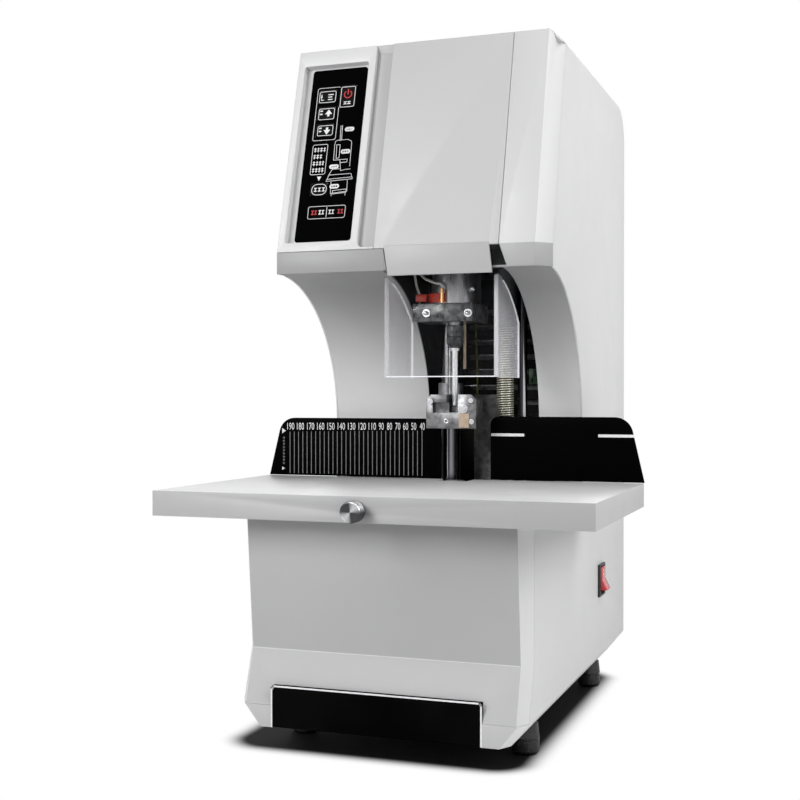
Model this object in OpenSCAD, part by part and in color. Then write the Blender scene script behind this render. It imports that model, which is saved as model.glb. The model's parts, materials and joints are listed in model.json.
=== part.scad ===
// Document riveting machine: a desk machine that drills a stack of paper and rivets it.
// X points to the right, Y to the back, Z up. The origin lies on the desk, in the middle.

/* [Casing] */
// Width of the casing
body_w = 268; // [256:1:290]
// Thickness of the casing sheets
sheet = 2; // [1.5:0.5:2.5]
// Distance from the origin to the back of the casing
back_y = 262; // [255:1:290]
// Distance from the origin to the front of the base
base_front_y = 211; // [205:1:220]
// Distance from the origin to the front of the head
head_front_y = 128; // [124:1:132]
// Height of the whole machine
head_top = 670; // [660:1:700]
// Height where the slanted face of the head starts
face_z = 464; // [460:1:470]
// How far the top of the face leans back
face_lean = 56; // [40:1:70]
// Height of the underside of the head at its front edge
head_bottom = 443; // [440:1:446]
// Radius of the concave throat
throat_r = 147; // [140:1:150]
// Width of the chamfer along the top of the casing
top_chamfer = 12; // [8:1:16]
// Width of the chamfer along the rear edges
rear_chamfer = 4; // [3:1:6]
// Radius where the top turns down to the back
rear_radius = 38; // [25:1:50]
// Height of the crease in the base front
crease_z = 96; // [85:1:110]
// How far the crease lies behind the bottom of the base front
crease_in = 15; // [10:1:18]

/* [Head] */
// Width of the control bezel
bezel_w = 82; // [80:1:86]
// Width of the groove between bezel and front cover
groove_w = 18; // [14:1:20]
// Depth of the control recess
recess_depth = 7; // [5:0.5:8]
// Width of the front cover
cover_w = 121; // [115:1:122]
// Gap around the front cover
cover_gap = 0.5; // [0.4:0.1:0.8]
// Length of the shield from front to back
shield_l = 80; // [70:1:84]
// Height of the lower edge of the shield
shield_z = 343.5; // [335:0.5:350]
// Thickness of the shield
shield_t = 2; // [1.5:0.5:3]

/* [Table and fences] */
// Width of the work table
table_w = 400; // [380:1:440]
// Height of the table top
table_z = 241; // [239:1:246]
// Height of the table rim
table_h = 22.5; // [20:0.5:24]
// Thickness of the table top
table_t = 5; // [3:0.5:6]
// Distance from the origin to the front edge of the table
table_front_y = 248; // [240:1:255]
// Distance from the origin to the rear edge of the table
table_rear_y = 9; // [8:0.5:10]
// Height of the fences above the table
fence_h = 63.5; // [55:0.5:70]
// Thickness of the fences
fence_t = 3; // [2:0.5:3]
// Front face of the fences, measured from the origin
fence_y = 7; // [6.5:0.5:7]
// Diameter of the adjusting knob
knob_d = 18.5; // [16:0.5:21]
// Length of the adjusting knob
knob_l = 13; // [10:0.5:14]

/* [Drill] */
// Drill axis, to the right of the origin
drill_x = 13.5; // [12:0.5:15]
// Drill axis, in front of the origin
drill_y = 24; // [22:0.5:26]
// Diameter of the hollow bit
bit_d = 6; // [4:0.5:7]
// Height of the tip of the bit at rest
bit_tip_z = 316; // [316:0.5:318]
// Diameter of the drill chuck
chuck_d = 17; // [14:0.5:18]
// Length of the drill chuck
chuck_l = 22; // [18:1:24]
// Diameter of the spindle housing
housing_d = 52; // [48:1:54]
// Height of the lower end of the housing at rest
housing_z = 399; // [398:1:402]
// Diameter of the guide column
column_d = 20; // [18:0.5:21]
// Radius of the spindle pulley
pulley_r = 18; // [15:1:18]
// Radius of the motor pulley
motor_pulley_r = 12; // [9:1:13]

/* [Presser and spring] */
// Width of the presser block
presser_w = 52; // [48:1:53]
// Height of the presser block
presser_h = 34; // [30:1:36]
// Height of the underside of the presser block at rest
presser_z = 293; // [293:0.5:296]
// Mean radius of the return spring
spring_r = 8.4; // [8:0.1:8.6]
// Wire diameter of the return spring
wire_d = 1.3; // [1.1:0.1:1.4]
// Number of curls of the return spring
curls = 72; // [60:1:74]

/* [Tray, feet and switch] */
// Width of the tray front
tray_w = 195; // [180:1:198]
// Height of the tray front
tray_h = 36.5; // [32:0.5:38]
// Depth of the dust tray
tray_l = 244; // [200:1:246]
// Diameter of the rubber feet
foot_d = 25; // [20:1:28]
// Height of the rubber feet
foot_h = 28; // [26:1:29]
// Height of the rocker switch bezel
switch_h = 34; // [33:1:40]
// Width of the rocker switch bezel
switch_w = 30; // [27:1:32]

/* [Hidden] */
$fn = 40;

run_gap = 0.05;          // radial clearance of a running fit
fit_gap = 0.3;           // clearance between faces that pass each other
hw = body_w / 2;         // half the width of the casing
pan_h = 20;              // height of the bevelled pan
pan_bevel = 16;          // how far its sides draw in
pan_top = foot_h + pan_h;
floor_z = foot_h + sheet;
base_top = table_z - table_h - 0.5;
bed_t = 12;
bed_top = table_z - table_h;
facet_x = 8;             // width of the corner facet on the base
head_facet_x = 13;       // width of the corner facet on the head
head_edge = 16;          // depth of the head's front parts in front of the side panels
face_h = head_top - face_z;
lean = atan(face_lean / face_h);
face_len = face_h / cos(lean);
side_top = head_top - top_chamfer;
side_back = back_y - rear_chamfer;
throat_cy = -head_front_y + 2;
throat_cz = head_bottom - throat_r;
throat_back = throat_cy + throat_r;
lip_in = 10;             // where the front cover's lower tongue starts, from the cover's edge
trim_t = 2.3;            // thickness of the right head trim
bezel_x = -hw;
groove_x = bezel_x + bezel_w;
cover_x = groove_x + groove_w;
cover_r = cover_x + cover_w;
bay_l = -28;             // left edge of the opening in the throat
bay_r = 89;              // right edge of that opening
bay_front = -122;        // front edge of that opening
liner_front = -95;       // front edge of the bay's side walls
door_drop = 5;           // how far the front cover hangs below the head
bay_back = 76;
bay_wall = 1.5;
bay_top = 450;
column_x = -3;
column_y = 14;
rod_x = 55.5;
rod_y = 13.5;
rod_r = 6;
screw_x = 71;
screw_y = 24;
screw_r = 4.8;
frame_l = -45;
frame_r = 88;
frame_front = 84;        // front face of the upright
frame_back = 112;
frame_foot_out = 20;     // how far the frame's foot is wider than the upright, on each side
frame_foot_l = 88;
frame_foot_t = 10;
jaw_t = 28;
jaw_out = 36;            // how far the lower jaw reaches in front of the drill axis
upper_jaw_z = 582;
upper_jaw_t = 20;
dx = drill_x;
dy = -drill_y;
motor_x = 66;
motor_y = -30;
motor_r = 22;
belt_z = 603;
belt_h = 10;
belt_t = 1.6;
housing_top = 520;
bush_top = housing_top + 20;
block_z = 455;           // underside of the carriage block at rest
block_h = 45;
block_l = -26;
block_r = 46;
block_front = 32;        // how far the block reaches in front of the drill axis
motor_base = 522;
collar_h = 18;
collar_l = -22;
collar_r = 40;
collar_front = dy - 28;
collar_back = 3;
rack_y = -60;            // front of the fence carriage's crossbar
rack_d = 14;
rack_half = 115;         // half the length of that crossbar
arm_x = 110;             // outer side of the arms that carry the fences
arm_w = 15;
arm_t = 3;
knob_x = -3.8;
knob_z = table_z - 12.6;
screw_small_r = 3;
fence_gap_l = -8;
fence_gap_r = 45.7;
notch_l = -4;
notch_r = 29;
notch_y = -37;
tray_x = -100;
tray_face_t = 3;
tray_in = 5;             // how far the tray's box lies inside its front's edges
tray_wall = 1.5;
tray_z = floor_z + 3;
key_gap = 0.25;
key_out = 0.4;           // how far a key stands out of the membrane
membrane_t = 1.5;
switch_y = 115;
switch_z = 128;
foot_x = 110;
feet_y = [-115, 172];
spring_top = 396;
spring_bottom = bed_top + 4;

// ---------- helpers ----------
function arc(c, r, a0, a1, n) =
    [for (i = [0:n]) let (a = a0 + (a1 - a0) * i / n) c + r * [cos(a), sin(a)]];
function face_y(z) = -head_front_y + max(0, z - face_z) * face_lean / face_h;
function ring(outer, inner) = concat(outer, [for (i = [len(inner) - 1:-1:0]) inner[i]]);

// An open strip of sheet: each ring holds its outer points, then its inner ones reversed
module strip(rings) {
    n = len(rings[0]);
    last = (len(rings) - 1) * n;
    sides = [for (k = [0:len(rings) - 2], i = [0:n - 1])
        let (a = k * n + i, b = k * n + (i + 1) % n)
        each [[a, a + n, b + n], [a, b + n, b]]];
    caps = [for (i = [0:n / 2 - 2]) let (j = n - 1 - i)
        each [[i, i + 1, j - 1], [i, j - 1, j],
              [last + j, last + j - 1, last + i + 1], [last + j, last + i + 1, last + i]]];
    polyhedron([for (r = rings) each r], concat(sides, caps));
}

// Turns a side outline, drawn in Y and Z, into a solid from x0 to x1
module along_x(x0, x1) {
    translate([x0, 0, 0])
        rotate([90, 0, 90])
            linear_extrude(x1 - x0) children();
}

module box(lo, hi) {
    translate(lo) cube(hi - lo);
}

module post(x, y, z0, z1, r) {
    translate([x, y, z0]) cylinder(h = z1 - z0, r = r);
}

module round_rect(w, h, r) {
    square([w - 2 * r, h], center = true);
    square([w, h - 2 * r], center = true);
    for (sx = [-1, 1], sy = [-1, 1])
        translate([sx * (w / 2 - r), sy * (h / 2 - r)]) circle(r);
}

// Frame of the slanted face: X across, Y into the head, Z up along the face
module on_face() {
    translate([0, -head_front_y, face_z])
        rotate([-lean, 0, 0]) children();
}

// A plate in the face's frame, between the depths w0 and w1
module face_plate(w0, w1) {
    translate([0, w1, 0])
        rotate([90, 0, 0])
            linear_extrude(w1 - w0) children();
}

// A tube of radius r that follows points, which climb or fall but never run along X
module tube_run(points, r, n = 8) {
    last = len(points) - 1;
    function unit(v) = v / norm(v);
    function dir(i) = unit(unit(points[min(i + 1, last)] - points[max(i - 1, 0)]));
    rings = [for (i = [0:last]) let (t = dir(i), u = unit(cross([0, 1, 0.01], t)), v = cross(t, u))
        [for (k = [0:n - 1]) points[i] + r * (cos(360 * k / n) * u + sin(360 * k / n) * v)]];
    sides = [for (k = [0:last - 1], i = [0:n - 1]) let (j = (i + 1) % n)
        each [[k * n + i, (k + 1) * n + i, (k + 1) * n + j], [k * n + i, (k + 1) * n + j, k * n + j]]];
    caps = [for (i = [1:n - 2]) each [[0, i, i + 1],
        [last * n, last * n + i + 1, last * n + i]]];
    polyhedron([for (q = rings) each q], concat(sides, caps));
}

// ---------- casing ----------
function base_front_at(z) =
    z <= pan_top ? -base_front_y
    : z <= crease_z ? -base_front_y + crease_in * (z - pan_top) / (crease_z - pan_top)
    : -base_front_y + crease_in - 12 * (z - crease_z) / (base_top - crease_z);
function base_facet_at(z) = z <= pan_top ? 13 : z <= crease_z ? 15 : 29;

function pan_outline(z, w, back, front) =
    [for (p = [[-w, -front + 13], [-w + 7, -front], [w - 7, -front], [w, -front + 13],
               [w, back - rear_chamfer], [w - rear_chamfer, back],
               [-w + rear_chamfer, back], [-w, back - rear_chamfer]]) [p[0], p[1], z]];

module pan_loft(z0, z1, w0, w1, back0, back1, front) {
    lower = pan_outline(z0, w0, back0, front);
    upper = pan_outline(z1, w1, back1, front);
    n = len(lower);
    polyhedron(concat(lower, upper),
        concat([[for (i = [0:n - 1]) i]], [[for (i = [n - 1:-1:0]) n + i]],
            [for (i = [0:n - 1]) let (j = (i + 1) % n) each [[i, i + n, j + n], [i, j + n, j]]]));
}

module base_pan() {
    color("gainsboro")
    difference() {
        pan_loft(foot_h, pan_top, hw - pan_bevel, hw, back_y - pan_h, back_y, base_front_y);
        pan_loft(floor_z, pan_top + 1, hw - pan_bevel - sheet, hw - sheet,
            back_y - pan_h - sheet, back_y - sheet, base_front_y - sheet);
        box([tray_x - 0.5, -base_front_y - 1, foot_h - 1],
            [tray_x + tray_w + 0.5, -base_front_y + tray_face_t + 2, pan_top + 1]);
    }
}

module base_front() {
    levels = [pan_top, crease_z, base_top];
    color("lightgray")
    difference() {
        strip([for (z = levels) let (f = base_front_at(z), s = f + base_facet_at(z))
            ring([[-hw, s, z], [-hw + facet_x, f, z], [hw - facet_x, f, z], [hw, s, z]],
                 [[-hw + sheet, s, z], [-hw + facet_x + 1, f + sheet, z],
                  [hw - facet_x - 1, f + sheet, z], [hw - sheet, s, z]])]);
        box([tray_x - 0.5, -base_front_y - 1, pan_top - 1],
            [tray_x + tray_w + 0.5, -base_front_y + 20, foot_h + 0.5 + tray_h + 0.5]);
    }
}

function side_outline() = concat(
    [[base_front_at(pan_top) + base_facet_at(pan_top), pan_top], [side_back, pan_top]],
    arc([side_back - rear_radius, side_top - rear_radius], rear_radius, 0, 90, 8),
    [[face_y(side_top) + head_edge, side_top], [-head_front_y + head_edge, face_z]],
    arc([throat_cy, throat_cz], throat_r, acos((head_edge - 2) / throat_r), 0, 24),
    [[throat_back, base_top],
     [base_front_at(base_top) + base_facet_at(base_top), base_top],
     [base_front_at(crease_z) + base_facet_at(crease_z), crease_z]]);

module side_panel_left() {
    color("gainsboro") along_x(-hw, -hw + sheet) polygon(side_outline());
}

module side_panel_right() {
    color("gainsboro")
    difference() {
        along_x(hw - sheet, hw) polygon(side_outline());
        box([hw - sheet - 1, switch_y - switch_w / 2 + 2, switch_z - switch_h / 2 + 2],
            [hw + 1, switch_y + switch_w / 2 - 2, switch_z + switch_h / 2 - 2]);
    }
}

// One ring of the sheet that covers top and back: p is the side edge, a the way it faces
function wrap_ring(p, a, h) = let (n = [cos(a), sin(a)])
    ring([for (q = [[-hw, 0], [-hw + h, h], [hw - h, h], [hw, 0]])
            [q[0], p[0] + q[1] * n[0], p[1] + q[1] * n[1]]],
         [for (q = [[-hw + sheet, 0], [-hw + h + 0.8, h - sheet], [hw - h - 0.8, h - sheet],
                    [hw - sheet, 0]])
            [q[0], p[0] + q[1] * n[0], p[1] + q[1] * n[1]]]);
wrap_c = [side_back - rear_radius, side_top - rear_radius];
function wrap_h(a) = rear_chamfer + (top_chamfer - rear_chamfer) * (1 - cos(a));
cover_top_gap = 4.2;     // from the head's front edge back to the top cover

// The space behind the front edge of the top cover, which the head's front parts leave free
module top_cover_space() {
    box([-hw - 1, face_y(head_top) + cover_top_gap - fit_gap, side_top - fit_gap],
        [hw + 1, 0, head_top + 1]);
}

module top_cover() {
    steps = 8;
    color("whitesmoke")
    strip(concat(
        [wrap_ring([face_y(head_top) + cover_top_gap, side_top], 90, top_chamfer)],
        [for (i = [0:steps]) let (a = 90 - 90 * i / steps)
            wrap_ring(wrap_c + rear_radius * [cos(a), sin(a)], a, wrap_h(a))]));
}

module rear_cover() {
    color("gainsboro")
    difference() {
        strip([wrap_ring([side_back, wrap_c[1]], 0, rear_chamfer),
               wrap_ring([side_back, pan_top], 0, rear_chamfer)]);
        translate([inlet_x, back_y + 1, inlet_z])
            rotate([90, 0, 0]) linear_extrude(20) square([inlet_w, inlet_h], center = true);
    }
}

module throat_cover() {
    lip_r = cover_x + lip_in - cover_gap;
    color("silver")
    difference() {
        union() {
            along_x(-hw + sheet, hw - sheet)
                polygon(concat(
                    arc([throat_cy, throat_cz], throat_r, 90, 0, 24),
                    [[throat_back, base_top + 0.5], [throat_back + sheet, base_top + 0.5]],
                    arc([throat_cy, throat_cz], throat_r + sheet, 0, 90, 24)));
            box([-hw, -head_front_y, head_bottom], [lip_r, -head_front_y + sheet, face_z]);
            box([-hw, -head_front_y, head_bottom], [-hw + sheet, -head_front_y + head_edge, face_z]);
        }
        box([bay_l, bay_front, throat_cz - 200], [bay_r, throat_back + 10, head_bottom + 10]);
        box([lip_r, -head_front_y - 1, head_bottom - 1], [hw + 1, -head_front_y + 5, face_z + 1]);
        translate([hw - head_facet_x, -head_front_y, head_bottom - 20])
            rotate([0, 0, atan(head_edge / head_facet_x)])
                translate([0, -20, 0]) cube([40, 20 + trim_t + fit_gap, 60]);
        on_face() box([-hw - 1, -1, -cover_gap], [hw + 1, 40, 40]);
    }
}

module control_bezel() {
    depth = head_edge * cos(lean);
    inner_l = bezel_x + 7;
    inner_r = groove_x - 6.5;
    color("whitesmoke")
    difference() {
        on_face() difference() {
            box([bezel_x, 0, 0], [cover_x - cover_gap, depth, face_len - 0.1]);
            translate([(inner_l + inner_r) / 2, 0, mem_v0 + mem_h / 2])
                face_plate(-1, recess_depth) round_rect(inner_r - inner_l, mem_h + 5, 3);
            box([bezel_x + bezel_t, recess_depth + 2, bezel_t],
                [cover_x - bezel_t, depth + 1, face_len - bezel_t]);
            translate([groove_x + 0.5 + 15, 0, 2 + 200])
                face_plate(-1, groove_depth) round_rect(30, 400, 6);
        }
        top_cover_space();
    }
}

bezel_t = 2.5;           // wall of the control bezel
groove_depth = 5.5;
mem_l = bezel_x + 14.5;  // left edge of the membrane
mem_w = 58;
mem_v0 = 11.7;           // its lower edge, measured up the slanted face
mem_h = 183;

module key_shape(w, h, grow = 0) {
    round_rect(w + 2 * grow, h + 2 * grow, min(w, h) / 8);
}

// Each key: place across and up the face, width, height
key_w = 19;
key_h = 14;
key_reset_at = [mem_l + 17.8, mem_v0 + 154.1, key_w, key_h];
key_up_at = [mem_l + 18.2, mem_v0 + 135.6, key_w, key_h];
key_down_at = [mem_l + 18.5, mem_v0 + 117.3, key_w, key_h];
key_start_at = [mem_l + 39.7, mem_v0 + 152.5, 17.5, 24];
key_mode_at = [mem_l + 19.6, mem_v0 + 54.7, 18, 12.5];

module at_key(k) {
    on_face() translate([k[0], 0, k[1]]) children();
}

module membrane_panel() {
    color("black")
    on_face()
    difference() {
        translate([mem_l + mem_w / 2, 0, mem_v0 + mem_h / 2])
            face_plate(recess_depth - membrane_t, recess_depth) round_rect(mem_w, mem_h, 3);
        for (k = [key_reset_at, key_up_at, key_down_at, key_start_at, key_mode_at])
            translate([k[0], 0, k[1]])
                face_plate(recess_depth - membrane_t - 1, recess_depth + 1)
                    key_shape(k[2], k[3], key_gap);
    }
}

module key(k) {
    color("dimgray")
    at_key(k)
        face_plate(recess_depth - membrane_t - key_out, recess_depth - 0.6) key_shape(k[2], k[3]);
}
module key_reset() { key(key_reset_at); }
module key_up() { key(key_up_at); }
module key_down() { key(key_down_at); }
module key_start() { key(key_start_at); }
module key_mode() { key(key_mode_at); }

trim_l = cover_r + cover_gap;
module head_trim() {
    color("whitesmoke")
    difference() {
        strip([for (z = [head_bottom, face_z, head_top])
            let (f = face_y(z), top = z == head_top, zs = top ? side_top : z,
                 s = face_y(zs) + head_edge, e = hw - head_facet_x)
            ring([[trim_l, f, z], [e, f, z], [hw, s, zs]],
                 [[trim_l, f + trim_t, z], [e - 1, f + trim_t, z], [hw - sheet, s, zs]])]);
        corner_gap(trim_l - 1, 9);
        top_cover_space();
    }
}

// The dark gap at the lower right corner of the front cover
module corner_gap(x, w) {
    translate([x, -head_front_y + 10, head_bottom - 1])
        rotate([90, 0, 0])
            linear_extrude(12) polygon([[0, 0], [w, 0], [0.9, face_z - head_bottom + 2], [0, 30]]);
}

cover_t = 2.4;           // thickness of the front cover
hinge_y = face_y(head_top) + cover_t;
hinge_z = head_top - 1.8;
pin_r = 0.9;
knuckle_r = 1.5;
knuckle_l = 14;
knuckle_pairs = floor((cover_w - 4) / knuckle_l / 2);

// Every second knuckle of the hinge, starting with knuckle number first
module knuckle_row(first, r) {
    for (i = [0:knuckle_pairs - 1])
        translate([cover_x + 2 + (2 * i + first) * knuckle_l + 0.15, hinge_y, hinge_z])
            rotate([0, 90, 0]) cylinder(h = knuckle_l - 0.3, r = r);
}

module hinge_leaf() {
    color("silver") {
        translate([cover_x + 2, hinge_y, hinge_z])
            rotate([0, 90, 0]) cylinder(h = cover_w - 4, r = pin_r);
        knuckle_row(1, knuckle_r);
        intersection() {
            box([cover_x + 2, hinge_y + 0.4, hinge_z - knuckle_r + 0.05],
                [cover_r - 2, hinge_y + 16, hinge_z - 0.25]);
            union() {
                for (i = [0:knuckle_pairs - 1])
                    translate([cover_x + 2 + (2 * i + 1) * knuckle_l + 0.15, hinge_y, hinge_z - 5])
                        cube([knuckle_l - 0.3, 4, 10]);
                translate([cover_x + 2, hinge_y + 2.2, hinge_z - 5]) cube([cover_w - 4, 14, 10]);
            }
        }
    }
}

module front_cover() {
    t = cover_t;
    low = head_bottom - door_drop - face_z;
    color("gainsboro") {
        difference() {
            union() {
                on_face() {
                    face_plate(0, t)
                        polygon([[cover_x, 0], [cover_r, 0], [cover_r, face_len], [cover_x, face_len]]);
                    for (x = [cover_x, cover_r - t])
                        box([x, 0, 4], [x + t, 12, face_len - 8]);
                }
                translate([0, -head_front_y, face_z])
                    face_plate(0, t)
                        polygon([[cover_x + lip_in, 2], [cover_x + lip_in + 4, low],
                                 [cover_r - 6, low], [cover_r - 9, 0.5], [cover_r - 9, 2]]);
            }
            knuckle_row(1, knuckle_r + fit_gap);
            translate([cover_x - 1, hinge_y, hinge_z])
                rotate([0, 90, 0]) cylinder(h = cover_w + 2, r = pin_r + run_gap);
        }
        difference() {
            knuckle_row(0, knuckle_r);
            translate([0, hinge_y, hinge_z]) rotate([0, 90, 0])
                cylinder(h = 400, r = pin_r + run_gap, center = true);
        }
    }
}

module bay_liner() {
    x0 = bay_l - 2 - bay_wall;
    x1 = bay_r + 2;
    module cheek() {
        difference() {
            polygon([[liner_front, bed_top], [bay_back, bed_top], [bay_back, bay_top],
                     [liner_front, bay_top]]);
            polygon(concat([[liner_front - 62, bed_top - 1]], [[throat_back + sheet + fit_gap, bed_top - 1]],
                arc([throat_cy, throat_cz], throat_r + sheet + fit_gap, 0, 90, 24)));
        }
    }
    color("#202020") {
        along_x(x0, x0 + bay_wall) cheek();
        along_x(x1, x1 + bay_wall) cheek();
        difference() {
            box([x0, bay_back, bed_top], [x1 + bay_wall, bay_back + bay_wall, bay_top]);
            for (i = [0:7])
                box([-2, bay_back - 1, 300 + 16 * i], [x1 - 12, bay_back + 3, 306 + 16 * i]);
        }
    }
}

// ---------- frame and table ----------
module main_frame() {
    lower = bed_top - bed_t;
    color("slategray")
    difference() {
        union() {
            box([frame_l, frame_front, floor_z], [frame_r, frame_back, upper_jaw_z + upper_jaw_t]);
            box([frame_l - frame_foot_out, frame_front, floor_z],
                [frame_r + frame_foot_out, frame_back + frame_foot_l, floor_z + frame_foot_t]);
            box([frame_l, dy - jaw_out, lower - jaw_t], [frame_r, frame_front + 1, lower]);
            box([column_x - column_d / 2 - 7, 0, upper_jaw_z],
                [frame_r, frame_front + 1, upper_jaw_z + upper_jaw_t]);
        }
        post(dx, dy, lower - jaw_t - 1, lower + 1, 9 + fit_gap);
        post(column_x, column_y, lower - 15, lower + 1, column_d / 2 + run_gap);
        post(column_x, column_y, upper_jaw_z - 1, upper_jaw_z + upper_jaw_t + 1,
            column_d / 2 + run_gap);
        post(rod_x, rod_y, upper_jaw_z - 1, upper_jaw_z + upper_jaw_t + 1, rod_r + run_gap);
        post(screw_x, screw_y, upper_jaw_z - 1, upper_jaw_z + upper_jaw_t + 1, screw_r + run_gap);
    }
}

bed_reach = 55;          // how far the bed plate runs on behind the throat
module bed_plate() {
    lower = bed_top - bed_t;
    color("dimgray")
    difference() {
        box([-hw + sheet + fit_gap, base_front_at(base_top) + base_facet_at(base_top) + 1, lower],
            [hw - sheet - fit_gap, throat_back + bed_reach, bed_top]);
        post(dx, dy, lower - 1, bed_top + 1, 9 + fit_gap);
        post(column_x, column_y, lower - 1, bed_top + 1, column_d / 2 + run_gap);
        post(rod_x, rod_y, bed_top - 8, bed_top + 1, rod_r + run_gap);
        post(screw_x, screw_y, bed_top - 8, bed_top + 1, screw_r + run_gap);
    }
}

table_boss_r = 7;
table_boss_x = 60;
table_boss_y = [-150, -90];
module work_table() {
    rim = 3;
    color("gainsboro")
    difference() {
        union() {
            difference() {
                box([-table_w / 2, -table_front_y, table_z - table_h], [table_w / 2, -table_rear_y, table_z]);
                box([-table_w / 2 + rim, -table_front_y + rim, table_z - table_h - 1],
                    [table_w / 2 - rim, -table_rear_y + 1, table_z - table_t]);
            }
            for (x = [-table_boss_x, table_boss_x], y = table_boss_y)
                post(x, y, table_z - table_h, table_z - table_t + 1, table_boss_r);
        }
        box([notch_l, notch_y, table_z - table_h - 1], [notch_r, 0, table_z + 1]);
        translate([knob_x, -table_front_y - 1, knob_z])
            rotate([-90, 0, 0]) cylinder(h = rim + 2, r = screw_small_r + run_gap);
    }
}

module cutting_die() {
    color("#303030")
    difference() {
        union() {
            box([notch_l + fit_gap, notch_y + fit_gap, bed_top], [notch_r - fit_gap, -table_rear_y - 4.5,
                table_z - 1.5]);
            post(dx, dy, bed_top, table_z - 0.3, 10);
        }
        post(dx, dy, bed_top - 1, table_z + 1, 4.5);
    }
}

chute_foot_z = 70;
module chip_chute() {
    color("silver")
    difference() {
        post(dx, dy, chute_foot_z, bed_top - fit_gap, 9);
        post(dx, dy, chute_foot_z - 1, bed_top + 1, 7.5);
    }
}

module guide_column() {
    color("gray") post(column_x, column_y, bed_top - bed_t - 14, upper_jaw_z + upper_jaw_t, column_d / 2);
}

module spring_rod() {
    color("silver") {
        post(rod_x, rod_y, bed_top - 7.5, upper_jaw_z + upper_jaw_t, rod_r);
        difference() {
            post(rod_x, rod_y, bed_top, spring_bottom, spring_r + wire_d / 2 + 0.5);
            post(rod_x, rod_y, bed_top - 1, spring_bottom + 1, rod_r - 1);
        }
    }
}

// The spring's path climbs at a steady pitch, and its ends stand straight on their seats
rings_per_curl = 8;
wire_sides = 6;
spring_len = spring_top - fit_gap - spring_bottom;
coil_h = spring_len - 2 * wire_d;
pitch = coil_h / curls;
function spring_dir(i) = let (a = 360 * i / rings_per_curl, rise = pitch / (2 * PI * spring_r))
    let (d = [-sin(a), cos(a), rise]) d / norm(d);
function spring_at(i) = let (a = 360 * i / rings_per_curl)
    [spring_r * cos(a), spring_r * sin(a), wire_d + pitch * i / rings_per_curl];
last_i = curls * rings_per_curl;
function wire_ring(p, t, i) = let (a = 360 * i / rings_per_curl, u = [cos(a), sin(a), 0],
    v = cross(t, u))
    [for (k = [0:wire_sides - 1]) let (q = 360 * k / wire_sides)
        p + wire_d / 2 * (cos(q) * u + sin(q) * v)];
up = [0, 0, 1];
function turn_dir(i) = let (d = spring_dir(i) + up) d / norm(d);
spring_rings = concat(
    [wire_ring(spring_at(0) - [0, 0, wire_d], up, 0)],
    [for (i = [0:last_i]) wire_ring(spring_at(i), i == 0 || i == last_i ? turn_dir(i) : spring_dir(i), i)],
    [wire_ring(spring_at(last_i) + [0, 0, wire_d], up, last_i)]);
spring_least = min([for (i = [0:rings_per_curl], j = [rings_per_curl - 2:rings_per_curl + 2])
    norm(spring_at(i + j) - spring_at(i))]) - wire_d;
echo(spring_least_gap_mm = spring_least);

module return_spring() {
    n = wire_sides;
    rows = len(spring_rings);
    points = [for (r = spring_rings) each r];
    sides = [for (k = [0:rows - 2], i = [0:n - 1]) let (j = (i + 1) % n)
        each [[k * n + i, (k + 1) * n + i, (k + 1) * n + j], [k * n + i, (k + 1) * n + j, k * n + j]]];
    caps = [for (i = [1:n - 2]) each [[0, i, i + 1], [(rows - 1) * n, (rows - 1) * n + i + 1,
        (rows - 1) * n + i]]];
    color("khaki")
    translate([rod_x, rod_y, spring_bottom]) polyhedron(points, concat(sides, caps));
}

module lift_motor() {
    z = upper_jaw_z + upper_jaw_t;
    color("#303030")
    difference() {
        box([screw_x - 22, screw_y - 22, z], [screw_x + 22, screw_y + 22, z + 50]);
        post(screw_x, screw_y, z - 1, z + 12, screw_r + run_gap);
    }
}

shield_l_x = -34;
shield_r_x = 79;
shield_front = -100;
module shield() {
    back = shield_front + shield_l;
    color([0.85, 0.9, 0.93, 0.5])
    intersection() {
        union() {
            box([shield_l_x, shield_front, shield_z], [shield_r_x, shield_front + shield_t, head_bottom]);
            for (x = [shield_l_x, shield_r_x - shield_t])
                along_x(x, x + shield_t)
                    polygon([[shield_front, shield_z], [back, shield_z], [back, shield_z + 55],
                             [back - 20, shield_z + 85], [back - 40, head_bottom],
                             [shield_front, head_bottom]]);
        }
        along_x(shield_l_x - 1, shield_r_x + 1)
            polygon(concat([[throat_cy, shield_z - 1]], [[throat_back, shield_z - 1]],
                arc([throat_cy, throat_cz], throat_r - 0.05, 15, 90, 24)));
    }
}

module rear_bracket() {
    color("gray")
    difference() {
        box([12, 48, bed_top], [44, bay_back, presser_z + presser_h]);
        box([15, 51, bed_top - 1], [41, bay_back + 1, presser_z + presser_h - 3]);
    }
}

earth_lead_r = 1.1;
earth_lead_top = 405;
module earth_lead() {
    y = bay_back - earth_lead_r - 0.1;
    color("olive")
    tube_run([[6, y, earth_lead_top], [6.5, y, earth_lead_top - 20], [8, y, earth_lead_top - 55],
              [8.5, y, bed_top + 1]], earth_lead_r);
}

// ---------- inside the base ----------
supply = [48, 120, 50];  // width, length and height of the power supply
supply_front = 70;
supply_gap = 1;          // between the power supply and the frame's foot
module power_supply() {
    color("silver") translate([frame_l - frame_foot_out - supply_gap - supply[0], supply_front, floor_z])
        cube(supply);
}

board_w = 22;
board_l = 30;
board_t = 1.6;
board_up = 8;            // height of the control board above the pan's floor
module control_board() {
    color("darkgreen")
    translate([hw - 20 - board_w, back_y - 52, floor_z]) {
        translate([0, 0, board_up]) cube([board_w, board_l, board_t]);
        for (x = [4, board_w - 4], y = [5, board_l - 5]) post(x, y, 0, board_up + 1, 2);
        translate([6, 8, board_up + 1]) cube([board_w - 12, board_l - 16, 13]);
    }
}

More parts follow.
